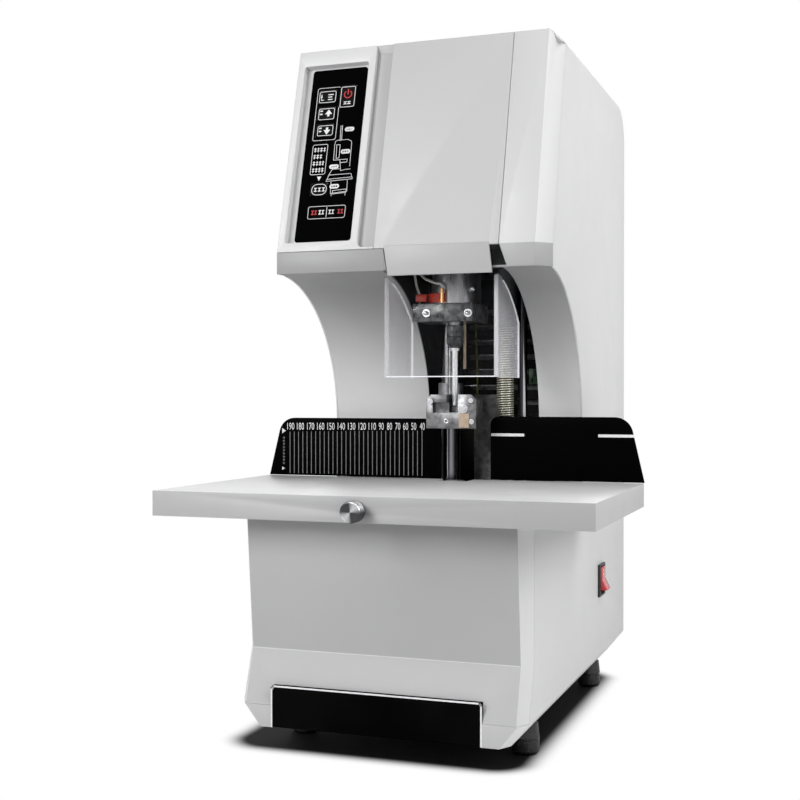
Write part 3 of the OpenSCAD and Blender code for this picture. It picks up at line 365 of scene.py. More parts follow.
OLIVE = Finish("earth_lead_sleeve", (0.2, 0.22, 0.05), 0.5)
OLIVE.vary_colour((0.13, 0.15, 0.03), 120).vary_roughness(0.08, 120).bump(0.00003, 1500)
BEIGE = Finish("wear_plastic", (0.52, 0.4, 0.29), 0.5)
BEIGE.soft_edges(0.0004).vary_colour((0.4, 0.3, 0.22), 180).vary_roughness(0.1, 150).bump(0.00006, 700)
BOARD = Finish("board_mask", (0.03, 0.12, 0.035), 0.4)
BOARD.vary_colour((0.02, 0.08, 0.025), 90).bump(0.00002, 1500)


def clear_sheet(name, colour, roughness, straight, grazing, drift):
    """A thin clear sheet, with its opacity head on and along grazing views."""
    finish = Finish(name, colour, roughness, IOR=1.49)
    weight = finish.node("LayerWeight", Blend=0.35)
    alpha = finish.between(weight.outputs["Facing"], 0, 1, straight, grazing)
    streaks = finish.between(finish.noise(14, 3.0, (1, 1, 0.25)), 0.3, 0.7, 0.75, 1.25)
    both = finish.node("Math", operation="MULTIPLY")
    finish.link(alpha, both.inputs[0])
    finish.link(streaks, both.inputs[1])
    finish.link(both.outputs[0], finish.shader.inputs["Alpha"])
    finish.vary_roughness(drift, 30)
    return finish


CLEAR = clear_sheet("clear_acrylic", (0.86, 0.87, 0.92), 0.06, 0.002, 0.03, 0.03)
MILKY = clear_sheet("acrylic_wing", (0.78, 0.78, 0.82), 0.12, 0.25, 0.42, 0.04)
# Painted light: the left wing is a lighter, clearer sheet than the right one, where it faces away from the light.
MILKY_LEFT_PAINTED_LIGHT = clear_sheet("acrylic_left_wing_painted_light", (0.95, 0.95, 0.98), 0.12, 0.2, 0.36, 0.04)
BEND = Finish("acrylic_bend", (0.9, 0.9, 0.94), 0.15, Alpha=0.5)
BEND.vary_roughness(0.05, 60, (1, 1, 0.1))
# Painted glow: the acrylic's cut edges give off a faint light of their own.
EDGE = Finish("acrylic_edge_painted_glow", (0.9, 0.9, 0.94), 0.3, Alpha=0.85, Emission_Color=(1, 1, 1, 1), Emission_Strength=0.2)
EDGE.vary_roughness(0.1, 90)


# ---------- building pieces ----------
def add_piece(name, mesh, finish, body, stands_for=(), smooth=30, place=(0, 0, 0)):
    """A mesh as a piece on a body. smooth is the angle up to which two faces shade as one."""
    piece = bpy.data.objects.new(name, mesh)
    bpy.context.scene.collection.objects.link(piece)
    piece.location = place
    for f in finish if isinstance(finish, (list, tuple)) else [finish]:
        mesh.materials.append(f.material)
    if smooth:
        smooth_by_angle(mesh, smooth)
    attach(piece, body)
    if stands_for:
        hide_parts(*stands_for)
    return piece


def smooth_by_angle(mesh, degrees):
    """Smooth shading, with sharp edges where two faces meet at more than the angle."""
    bm = bmesh.new()
    bm.from_mesh(mesh)
    limit = math.radians(degrees)
    for f in bm.faces:
        f.smooth = True
    for e in bm.edges:
        e.smooth = len(e.link_faces) == 2 and e.calc_face_angle(0) < limit
    bm.to_mesh(mesh)
    bm.free()


def from_bmesh(name, bm, finish, body, stands_for=(), smooth=30, place=(0, 0, 0)):
    """A piece from a bmesh, with its faces turned outward."""
    mesh = bpy.data.meshes.new(name)
    bmesh.ops.recalc_face_normals(bm, faces=bm.faces)
    bm.to_mesh(mesh)
    bm.free()
    return add_piece(name, mesh, finish, body, stands_for, smooth, place)


def eased(node, finish, radius, pick=None, segments=2, angle=24):
    """A copy of a CAD node with its edges rounded over. It stands for the node.

    pick gives a face's place among several finishes.
    """
    source = NODES[node]
    bm = bmesh.new()
    bm.from_mesh(source.data)
    bmesh.ops.remove_doubles(bm, verts=bm.verts, dist=2e-6)
    bmesh.ops.dissolve_limit(bm, angle_limit=math.radians(0.6), verts=bm.verts, edges=bm.edges)
    bm.normal_update()
    for face in bm.faces:
        face.material_index = pick(face.calc_center_median(), face.normal) if pick else 0
    sharp = [e for e in bm.edges if len(e.link_faces) == 2 and e.calc_face_angle(0) > math.radians(angle)]
    bmesh.ops.bevel(bm, geom=sharp, offset=radius, offset_type="OFFSET", segments=segments, profile=0.5,
                    affect="EDGES", clamp_overlap=True, harden_normals=False, material=-1)
    return from_bmesh(node + "_eased", bm, finish, source["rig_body"], [node], 26)


def lathe(name, profile, centre, axis, finish, body, stands_for=(), steps=64, smooth=35):
    """A turned piece. The profile is (radius, place along the axis) in millimetres, centre in metres."""
    bm = bmesh.new()
    turn = Vector((0, 0, 1)).rotation_difference(Vector(axis)).to_matrix()
    rings = []
    for r, along in profile:
        if r == 0:
            rings.append([bm.verts.new(turn @ mm(0, 0, along))])
            continue
        rings.append([bm.verts.new(turn @ mm(r * math.cos(a), r * math.sin(a), along))
                      for a in (2 * math.pi * k / steps for k in range(steps))])
    for a, b in zip(rings, rings[1:]):
        for k in range(steps):
            k2 = (k + 1) % steps
            corners = [a[k % len(a)], a[k2 % len(a)], b[k2 % len(b)], b[k % len(b)]]
            bm.faces.new(list(dict.fromkeys(corners)))
    return from_bmesh(name, bm, finish, body, stands_for, smooth, centre)


def tube(name, points, radius, finish, body, stands_for=(), sides=12, closed=False):
    """A round bar that follows points in metres."""
    bm = bmesh.new()
    count = len(points)
    rings, across = [], None
    for i, p in enumerate(points):
        ahead = points[(i + 1) % count] if closed else points[min(i + 1, count - 1)]
        behind = points[i - 1] if closed or i else points[0]
        along = (ahead - behind).normalized()
        if across is None:
            across = along.orthogonal().normalized()
        across = (across - along * across.dot(along)).normalized()
        third = along.cross(across)
        rings.append([bm.verts.new(p + radius * (across * math.cos(a) + third * math.sin(a)))
                      for a in (2 * math.pi * k / sides for k in range(sides))])
    pairs = list(zip(rings, rings[1:])) + ([(rings[-1], rings[0])] if closed else [])
    for a, b in pairs:
        for k in range(sides):
            bm.faces.new([a[k], a[(k + 1) % sides], b[(k + 1) % sides], b[k]])
    if not closed:
        bm.faces.new(rings[0])
        bm.faces.new(rings[-1])
    return from_bmesh(name, bm, finish, body, stands_for, 50)


SLOTS = {s["node"]: s["material_slot"] for s in frame["record"]["subparts"]}


def paint(finish, *nodes):
    """Gives CAD nodes whose shape stays their material."""
    for node in nodes:
        mesh = NODES[node].data
        mesh.materials.clear()
        mesh.materials.append(finish.material)


# ---------- camera, light and floor ----------
def add_camera():
    """The photograph's viewpoint, from a fit to the ruler and the edges of the casing."""
    image_size, focal, centre_x, centre_y = 800, 1266.9, 402.1, 408.5
    data = bpy.data.cameras.new("photo_view")
    data.sensor_width = 36
    data.lens = focal / image_size * data.sensor_width
    data.shift_x = (image_size / 2 - centre_x) / image_size
    data.shift_y = (centre_y - image_size / 2) / image_size
    camera = bpy.data.objects.new("photo_view", data)
    camera.location = (0.3944, -1.2388, 0.3263)
    camera.rotation_mode = "QUATERNION"
    camera.rotation_quaternion = Vector((-0.3387, 0.9408, -0.0105)).to_track_quat("-Z", "Y")
    bpy.context.scene.collection.objects.link(camera)
    bpy.context.scene.camera = camera


AIM = Vector((0, 0, 0.35))
WORLD_LIGHT = 0.055  # strength of the even light on matt surfaces
# Name, degrees round from the front to the right, degrees up, distance and side in metres, and watts.
LAMPS = [
    ("right_side", 75, 25, 2.6, 1.2, 32),
    ("left_front", -30, 20, 2.8, 1.2, 54),
    ("right_high", 100, 50, 2.6, 1.2, 18),
    ("back", 195, 30, 2.8, 1.2, 24),
]


def add_area(name, round_by, up_by, distance, side, power):
    """A square lamp turned towards AIM."""
    data = bpy.data.lights.new(name, "AREA")
    data.shape = "RECTANGLE"
    data.size = data.size_y = side
    data.energy = power
    lamp = bpy.data.objects.new(name, data)
    a, e = math.radians(round_by), math.radians(up_by)
    away = Vector((math.sin(a) * math.cos(e), -math.cos(a) * math.cos(e), math.sin(e)))
    lamp.location = AIM + away * distance
    lamp.rotation_mode = "QUATERNION"
    lamp.rotation_quaternion = (-away).to_track_quat("-Z", "Y")
    bpy.context.scene.collection.objects.link(lamp)


def add_world():
    """Even soft light. What the camera, gloss and glass see of it is plain white."""
    world = bpy.data.worlds.new("studio")
    bpy.context.scene.world = world
    world.use_nodes = True
    tree = world.node_tree
    tree.nodes.clear()
    link = tree.links.new
    path = new_node(tree, "LightPath")
    seen = new_node(tree, "Math", operation="MAXIMUM")
    seen_all = new_node(tree, "Math", operation="MAXIMUM")
    ambient = new_node(tree, "Background", Strength=WORLD_LIGHT)
    white = new_node(tree, "Background")
    mix = new_node(tree, "MixShader")
    out = new_node(tree, "OutputWorld")
    for b in (ambient, white):
        b.inputs["Color"].default_value = (1, 1, 1, 1)
    link(path.outputs["Is Camera Ray"], seen.inputs[0])
    link(path.outputs["Is Glossy Ray"], seen.inputs[1])
    link(seen.outputs[0], seen_all.inputs[0])
    link(path.outputs["Is Transmission Ray"], seen_all.inputs[1])
    link(seen_all.outputs[0], mix.inputs[0])
    link(ambient.outputs[0], mix.inputs[1])
    link(white.outputs[0], mix.inputs[2])
    link(mix.outputs[0], out.inputs["Surface"])


FLOOR_HALF = 6.0
FLOOR_Z = -0.0002
# Painted shadow: inside this rectangle the floor's colour is near black, and it fades to the floor's own colour away
# from it.
SHADOW_LOW, SHADOW_HIGH = Vector((-0.128, -0.150, 0)), Vector((0.090, 0.208, 0))
FLOOR_CLEAR = (0.024, 0.052)  # how far from it the floor starts to whiten and is white
PAINTED_SHADOW_COLOUR, FLOOR_COLOUR = (0.004, 0.004, 0.004, 1), (0.9, 0.9, 0.9, 1)


def add_floor():
    """A pale floor: lit and shadowed near the machine, with a painted shadow that darkens its colour to near black
    round the base, and plain white further out, as the backdrop.
    """
    bm = bmesh.new()
    corners = [(-1, -1), (1, -1), (1, 1), (-1, 1)]
    bm.faces.new([bm.verts.new((x * FLOOR_HALF, y * FLOOR_HALF, FLOOR_Z)) for x, y in corners])
    mesh = bpy.data.meshes.new("floor")
    bm.to_mesh(mesh)
    bm.free()
    floor = bpy.data.objects.new("floor", mesh)
    bpy.context.scene.collection.objects.link(floor)
    material = bpy.data.materials.new("pale_floor")
    material.use_nodes = True
    tree = material.node_tree
    shader = tree.nodes["Principled BSDF"]
    shader.inputs["Roughness"].default_value = 0.8
    shader.inputs["Specular IOR Level"].default_value = 0.1
    link = tree.links.new
    coordinates = new_node(tree, "TexCoord")
    place = new_node(tree, "VectorMath", operation="SUBTRACT")
    place.inputs[1].default_value = (SHADOW_LOW + SHADOW_HIGH) / 2
    size = new_node(tree, "VectorMath", operation="ABSOLUTE")
    outside = new_node(tree, "VectorMath", operation="SUBTRACT")
    outside.inputs[1].default_value = (SHADOW_HIGH - SHADOW_LOW) / 2
    positive = new_node(tree, "VectorMath", operation="MAXIMUM")
    positive.inputs[1].default_value = (0, 0, 0)
    length = new_node(tree, "VectorMath", operation="LENGTH")
    far = new_node(tree, "MapRange", interpolation_type="SMOOTHSTEP")
    far.inputs["From Min"].default_value, far.inputs["From Max"].default_value = FLOOR_CLEAR
    path = new_node(tree, "LightPath")
    both = new_node(tree, "Math", operation="MULTIPLY")
    white = new_node(tree, "Emission")
    mix = new_node(tree, "MixShader")
    shadow_paint = new_node(tree, "Mix", data_type="RGBA")
    shadow_paint.inputs[MIX_FIRST].default_value = PAINTED_SHADOW_COLOUR
    shadow_paint.inputs[MIX_SECOND].default_value = FLOOR_COLOUR
    link(coordinates.outputs["Object"], place.inputs[0])
    link(place.outputs[0], size.inputs[0])
    link(size.outputs[0], outside.inputs[0])
    link(outside.outputs[0], positive.inputs[0])
    link(positive.outputs[0], length.inputs[0])
    link(length.outputs["Value"], far.inputs["Value"])
    link(far.outputs["Result"], shadow_paint.inputs[MIX_FACTOR])
    link(shadow_paint.outputs[MIX_RESULT], shader.inputs["Base Color"])
    link(far.outputs["Result"], both.inputs[0])
    link(path.outputs["Is Camera Ray"], both.inputs[1])
    link(both.outputs[0], mix.inputs[0])
    link(shader.outputs[0], mix.inputs[1])
    link(white.outputs[0], mix.inputs[2])
    link(mix.outputs[0], tree.nodes["Material Output"].inputs["Surface"])
    mesh.materials.append(material)


bpy.context.scene.view_settings.view_transform = "Standard"
add_camera()
add_world()
for lamp in LAMPS:
    add_area(*lamp)
add_floor()


# ---------- casing ----------
GROOVE_LEFT = -52.5 * MM
RECESS_LEFT, RECESS_RIGHT = -126 * MM, -55 * MM
BOSS_HEIGHT = 11.8 * MM  # of the presser's guide boss over its block


# Each function gives a face's place among its piece's finishes. Most of these finishes are lit and shaded tones of
# one paint or plastic: painted light and shade.
def bezel_face(centre, normal):
    """0 the frame, 1 the band below it, 2 the groove beside the door, 3 the recess round the membrane; 1, 2 and 3
    carry painted shade.
    """
    if normal.y < -0.9 and centre.z < FACE_Z:
        return 1
    if centre.x > GROOVE_LEFT and centre.z > FACE_Z + MM and normal.y < 0.3:
        return 2
    depth = (centre - FACE_ORIGIN).dot(FACE_IN)
    if RECESS_LEFT < centre.x < RECESS_RIGHT and depth > 0.8 * MM and centre.z > FACE_Z + 4 * MM:
        return 3 if normal.x > 0.3 else 2 if normal.z < -0.5 else 0
    return 0


def door_face(centre, normal):
    """0 the cover, 1 the band at its foot, in a darker tone as painted shade."""
    return 1 if normal.y < -0.98 and centre.z < FACE_Z + MM else 0


def trim_face(centre, normal):
    """0 the strip, 1 the corner facet in a lighter tone as painted light, 2 the band below them in a darker tone as
    painted shade.
    """
    if centre.z < FACE_Z - MM and normal.y < -0.5:
        return 2
    return 1 if normal.x > 0.2 else 0


def boss_face(centre, _normal):
    """0 the block, 1 the guide boss over it."""
    return 1 if centre.z > high("presser_block").z - BOSS_HEIGHT else 0


def pan_face(_centre, normal):
    """0 the sides, 1 the front, 2 the bevel under the sides."""
    if normal.z < -0.15:
        return 2
    return 1 if normal.y < -0.5 else 0


def rim_face(_centre, normal):
    """0 the top, 1 the front and back rim, 2 the ends."""
    return 0 if abs(normal.z) > 0.5 else 1 if abs(normal.y) > 0.5 else 2


def low_face(centre, normal):
    """0 above the crease, 1 below it, 2 the corner facets."""
    if abs(normal.x) > 0.3:
        return 2
    return 1 if centre.z < CREASE_Z * MM else 0


def corner_face(_centre, normal):
    """0 the side, 1 its front corner."""
    return 1 if normal.y < -0.5 else 0


for node, finish, radius, pick in (
    ("base_pan", (SHELL_BASE_SHADE, PANEL_LOW, BEVEL_PAINTED_LIGHT), 0.0006, pan_face),
    ("base_front", (PANEL, PANEL_LOW, CORNER_PAINTED_LIGHT), 0.0008, low_face),
    ("side_panel_left", (SHELL, CORNER_PAINTED_LIGHT), 0.0005, corner_face),
    ("side_panel_right", (SHELL, CORNER_PAINTED_LIGHT), 0.0005, corner_face),
    ("rear_cover", SHELL, 0.0006, None), ("top_cover", SHELL, 0.0006, None), ("throat_cover", THROAT, 0.0005, None),
    ("control_bezel", (HEAD, BAND_PAINTED_SHADE, GROOVE, RECESS), 0.0012, bezel_face),
    ("head_trim", (STRIP, FACET_PAINTED_LIGHT, STRIP_FOOT_SHADE), 0.0008, trim_face),
    ("front_cover", (DOOR, DOOR_FOOT_SHADE), 0.0007, door_face),
    ("work_table", (TABLE_COAT, TABLE_RIM_SHADE, TABLE_SIDE_SHADE), 0.0012, rim_face), ("membrane_panel", FILM, 0.0002, None),
    ("dust_tray", TRAY, 0.0005, None), ("switch_body", BLACK, 0.0006, None), ("rocker", RED, 0.0007, None),
    ("presser_block", (MILLED, BLACKENED), 0.0005, boss_face), ("clamp_collar", BLACKENED, 0.0007, None),
    ("fence_left", ACRYLIC, 0.0003, None), ("fence_right", ACRYLIC, 0.0003, None),
):
    eased(node, finish, radius, pick)

paint(KEY, "key_reset", "key_up", "key_down", "key_start", "key_mode")
paint(BRIGHT, "hinge_leaf", "tray_runners", "chip_chute", "spindle_housing", "spindle_shaft")
paint(LINER, "bay_liner")
paint(CASTING, "main_frame", "bed_plate", "carriage", "rear_bracket")
paint(BLACKENED, "cutting_die", "lift_motor", "drill_motor", "fence_carriage", "spring_rod")
paint(MILLED, "power_supply", "motor_pulley")
paint(COLUMN, "guide_column", "lift_screw")
paint(POLISHED, "set_screws", "presser_screws")
paint(BLACK, "power_inlet")
paint(RUBBER, "feet")
paint(BELT, "drive_belt")
paint(BOARD, "control_board")
paint(BEIGE, "depth_rod", "wear_plate")
paint(SILICONE_RED, "heater_insulator")
paint(BRASS, "heater_stud")
paint(LEAD, "heater_leads")
paint(OLIVE, "earth_lead")


# ---------- shield ----------
SHIELD_LOW, SHIELD_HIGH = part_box("shield")


def shield_face(centre, normal):
    """0 the front, 1 the right wing, 2 a cut edge, 3 the left wing."""
    if normal.z < -0.9 or (normal.y > 0.3 and centre.y > SHIELD_LOW.y + 0.01):
        return 2
    if abs(normal.x) > 0.5:
        return 1 if centre.x > 0 else 3
    return 0


eased("shield", (CLEAR, MILKY, EDGE, MILKY_LEFT_PAINTED_LIGHT), 0.0003, shield_face, segments=1)
FOLD_R, LOWER_EDGE_R, REAR_EDGE_R = 2.1 * MM, 0.4 * MM, 0.8 * MM
FOLD_TOP, REAR_EDGE_TOP = 438.5 * MM, 398.5 * MM
for side, x, finish in (("left", SHIELD_LOW.x + FOLD_R, MILKY_LEFT_PAINTED_LIGHT), ("right", SHIELD_HIGH.x - FOLD_R, BEND)):
    fold = [Vector((x, SHIELD_LOW.y + FOLD_R, z)) for z in (SHIELD_LOW.z + 0.2 * MM, FOLD_TOP)]
    tube("shield_fold_" + side, fold, FOLD_R, finish, "root", sides=20)
# Thin rods along the shield's lower and rear cut edges, with the edges' painted glow.
lower_edge = [Vector((x, SHIELD_LOW.y + 0.6 * MM, SHIELD_LOW.z + 0.6 * MM))
              for x in (SHIELD_LOW.x + FOLD_R, SHIELD_HIGH.x - FOLD_R)]
tube("shield_lower_edge", lower_edge, LOWER_EDGE_R, EDGE, "root")
for side, x in (("left", SHIELD_LOW.x + 0.9 * MM), ("right", SHIELD_HIGH.x - 0.9 * MM)):
    rear_edge = [Vector((x, SHIELD_HIGH.y - 0.9 * MM, z)) for z in (SHIELD_LOW.z + 0.3 * MM, REAR_EDGE_TOP)]
    tube("shield_rear_edge_" + side, rear_edge, REAR_EDGE_R, EDGE, "root")


# ---------- spring, chuck, bit and knob ----------
SPRING_CURLS, SPRING_TOP, SPRING_BOTTOM = 72, 395.7, 222.5
SPRING_R, WIRE_R = 8.4, 0.65
ROD = Vector((55.5 * MM, 13.5 * MM, 0))  # a point on its axis


def coil(steps=16):
    """The middle line of the spring's wire."""
    points = []
    for k in range(SPRING_CURLS * steps + 1):
        a = 2 * math.pi * k / steps
        z = SPRING_BOTTOM + WIRE_R + (SPRING_TOP - SPRING_BOTTOM - 2 * WIRE_R) * k / (SPRING_CURLS * steps)
        points.append(ROD + mm(SPRING_R * math.cos(a), SPRING_R * math.sin(a), z))
    return points


spring = tube("spring_coil", coil(), WIRE_R * MM, SPRING, "root", ["return_spring"], sides=8)
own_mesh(spring)

for node, finish, name, profile in (
    ("chuck", BLACKENED, "chuck_turned",
     [(0, 374), (5.2, 374), (6, 374.3), (8.2, 377.6), (8.5, 378.4), (8.5, 384), (8.1, 384.3), (8.1, 385.2),
      (8.5, 385.5), (8.5, 395.4), (8, 396), (0, 396)]),
    ("drill_bit", BIT, "drill_bit_turned",
     [(2, 316.4), (2.6, 316), (2.9, 317.5), (3, 319), (3, 366.6), (3.2, 367), (3.2, 370.4), (4.4, 370.6),
      (4.6, 371), (4.6, 373.4), (4.3, 373.8), (3, 373.9), (3, 385.5), (2, 385.5), (2, 316.4)]),
):
    lathe(name, profile, DRILL, (0, 0, 1), finish, NODES[node]["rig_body"], [node], steps=48)

KNOB_LOW, KNOB_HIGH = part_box("adjust_knob")
KNOB_CENTRE = Vector((middle("adjust_knob").x, KNOB_LOW.y, middle("adjust_knob").z))
KNOB_R = (KNOB_HIGH.x - KNOB_LOW.x) / 2 / MM


def knob_finish():
    """Turned face with a painted reflection: the fan of light and dark that its fine rings would give is painted into
    its colour, over fine turning marks.
    """
    finish = Finish("turned_knob_painted_reflection", (0.62, 0.62, 0.63), 0.24, metallic=1.0, Anisotropic=0.85)
    coordinates = finish.node("TexCoord")
    split = finish.node("SeparateXYZ")
    finish.link(coordinates.outputs["Object"], split.inputs[0])
    angle = finish.node("Math", operation="ARCTAN2")
    finish.link(split.outputs["Z"], angle.inputs[0])
    finish.link(split.outputs["X"], angle.inputs[1])
    twice = finish.node("Math", operation="MULTIPLY_ADD")
    finish.link(angle.outputs[0], twice.inputs[0])
    twice.inputs[1].default_value, twice.inputs[2].default_value = 2, -math.radians(95)
    fan = finish.node("Math", operation="COSINE")
    finish.link(twice.outputs[0], fan.inputs[0])
    finish.mix_in(finish.between(fan.outputs[0], 0.95, -0.3, 0, 1), (0.07, 0.07, 0.075))
    finish.rings((0, 0, 0), (0, 1, 0), 0.00025, 0.00001)
    return finish


def knob_profile():
    """A dished face with a rounded rim, and four grooves round the side."""
    profile = [(0, 0.35), (KNOB_R - 1.6, 0.35), (KNOB_R - 1.1, 0), (KNOB_R - 0.5, 0.1), (KNOB_R, 0.7), (KNOB_R, 3.2)]
    for k in range(4):
        profile += [(KNOB_R - 0.25, 3.4 + 2 * k), (KNOB_R - 0.25, 4.0 + 2 * k)]
        profile += [(KNOB_R, 4.2 + 2 * k), (KNOB_R, 5.2 + 2 * k)]
    return profile + [(KNOB_R - 0.4, 13.0), (0, 13.0)]


lathe("knob_turned", knob_profile(), KNOB_CENTRE, (0, 1, 0), knob_finish(), "knob",
      ["adjust_knob"], steps=72)


# ---------- printing ----------
class Print:
    """Flat ink. put turns drawing places into points in metres."""

    def __init__(self, put):
        self.put = put
        self.bm = bmesh.new()

    def fill(self, points, ink=0):
        face = self.bm.faces.new([self.bm.verts.new(self.put(*p)) for p in points])
        face.material_index = ink

    def rect(self, x0, y0, x1, y1, ink=0):
        self.fill([(x0, y0), (x1, y0), (x1, y1), (x0, y1)], ink)

    def line(self, points, width=0.55, ink=0):
        for (x0, y0), (x1, y1) in zip(points, points[1:]):
            length = math.hypot(x1 - x0, y1 - y0)
            ex, ey = (x1 - x0) / length * width / 2, (y1 - y0) / length * width / 2
            self.fill([(x0 - ex - ey, y0 - ey + ex), (x0 - ex + ey, y0 - ey - ex),
                       (x1 + ex + ey, y1 + ey - ex), (x1 + ex - ey, y1 + ey + ex)], ink)

    def frame(self, x0, y0, x1, y1, radius, width=0.55, ink=0):
        """A rounded outline, as one strip so that it has no overlaps."""
        ring = []
        for cx, cy, a0 in ((x1 - radius, y1 - radius, 0), (x0 + radius, y1 - radius, 90),
                           (x0 + radius, y0 + radius, 180), (x1 - radius, y0 + radius, 270)):
            for k in range(7):
                a = math.radians(a0 + 15 * k)
                ring.append((cx, cy, math.cos(a), math.sin(a)))
        for a, b in zip(ring, ring[1:] + ring[:1]):
            quad = [(c[0] + c[2] * r, c[1] + c[3] * r) for c, r in
                    ((a, radius), (b, radius), (b, radius - width), (a, radius - width))]
            self.fill(quad, ink)

    def pill(self, x, y, half_width, radius, ink=0):
        """A bar with round ends."""
        ends = [(side * (half_width - radius), math.radians(a - 90 * side))
                for side in (1, -1) for a in range(0, 181, 20)]
        self.fill([(x + shift + radius * math.cos(a), y + radius * math.sin(a)) for shift, a in ends], ink)

    def ring(self, x, y, radius, width, start=0, end=360, ink=0, steps=28):
        for k in range(steps):
            a0 = math.radians(start + (end - start) * k / steps)
            a1 = math.radians(start + (end - start) * (k + 1) / steps)
            self.fill([(x + r * math.cos(a), y + r * math.sin(a)) for a, r in
                       ((a0, radius), (a1, radius), (a1, radius - width), (a0, radius - width))], ink)

    def letter(self, x, y, width, height, bar, post, ink=0):
        """Two bars and a post, from post[0] to post[1], in place of a letter."""
        self.rect(x, y, x + width, y + bar, ink)
        self.rect(x, y + height - bar, x + width, y + height, ink)
        self.rect(x + post[0], y, x + post[1], y + height, ink)

    def figures(self, text, x, y, width, height, ink=0):
        """Plain figures, stretched to a width and height round a middle."""
        curve = bpy.data.curves.new("figures", "FONT")
        curve.body = text
        curve.resolution_u = 4
        writing = bpy.data.objects.new("figures", curve)
        bpy.context.scene.collection.objects.link(writing)
        mesh = bpy.data.meshes.new_from_object(writing.evaluated_get(bpy.context.evaluated_depsgraph_get()))
        bpy.data.objects.remove(writing)
        bpy.data.curves.remove(curve)
        xs, ys = [v.co.x for v in mesh.vertices], [v.co.y for v in mesh.vertices]
        for face in mesh.polygons:
            corners = [mesh.vertices[i].co for i in face.vertices]
            self.fill([(x + (c.x - (min(xs) + max(xs)) / 2) / (max(xs) - min(xs)) * width,
                        y + (c.y - (min(ys) + max(ys)) / 2) / (max(ys) - min(ys)) * height) for c in corners], ink)
        bpy.data.meshes.remove(mesh)

    def done(self, name, body, slot_name, *inks):
        """The drawing as a piece, in the inks given, or in white."""
        mesh = bpy.data.meshes.new(name)
        self.bm.to_mesh(mesh)
        self.bm.free()
        return add_piece(name, mesh, inks or INK_WHITE, body, smooth=0)


def print_keys():
    """Rims and signs on the five keys. Each rides on its own key."""
    def at_key(x, up):
        return on_face(x, up, KEY_DEPTH - INK)

    slot_name = SLOTS["key_start"]
    reset = Print(at_key)
    reset.frame(-110.0, 158.6, -92.2, 171.0, 1.8, 0.6)
    reset.line([(-107.6, 167.6), (-107.6, 161.6), (-105.2, 161.6)], 0.7)
    reset.fill([(-108.8, 164.6), (-106.4, 164.6), (-107.6, 167.6)])
    for k, width in enumerate((5.6, 4.4, 5.0)):
        reset.rect(-100.6, 166.6 - 2.6 * k, -100.6 + width, 167.6 - 2.6 * k)
    reset.done("print_reset", "key_reset", slot_name)
    for name, body, x0, y0, x1, y1, middle_x, half, base, tip in (
        ("print_up", "key_up", -108.8, 140.1, -91.8, 152.4, -98.2, 3.8, 146.0, 151.0),
        ("print_down", "key_down", -108.1, 122.8, -91.5, 133.9, -98.0, 3.6, 129.0, 123.9),
    ):
        key = Print(at_key)
        key.frame(x0, y0, x1, y1, 1.8, 0.6)
        key.fill([(middle_x - half, base), (middle_x, tip), (middle_x + half, base)])
        tail = base + (base - tip) / 2
        key.rect(middle_x - 1.2, min(base, tail), middle_x + 1.2, max(base, tail))
        for k in range(2):
            key.rect(x0 + 1.4, y1 - 3.4 - 3.4 * k, x0 + 4.2, y1 - 2.0 - 3.4 * k)
        key.done(name, body, slot_name)
    start = Print(at_key)
    start.frame(-87.2, 152.1, -71.8, 174.4, 1.8, 0.6)
    start.ring(-79.5, 166, 4.4, 1.1, 125, 415, ink=1)
    start.rect(-80.1, 165.6, -78.9, 171.6, ink=1)
    for x in (-83.2, -79.2):
        start.letter(x, 155.2, 3.2, 3.1, 0.9, (1.1, 2.0))
    start.done("print_start", "key_start", slot_name, INK_WHITE, INK_RED)
    mode = Print(at_key)
    mode.frame(-107.3, 59.9, -91.3, 71.6, 5.6, 0.6)
    for x in (-104.6, -100.4, -96.2):
        mode.letter(x, 63.6, 2.9, 4.1, 0.9, (1.0, 1.9))
    mode.done("print_mode", "key_mode", slot_name)


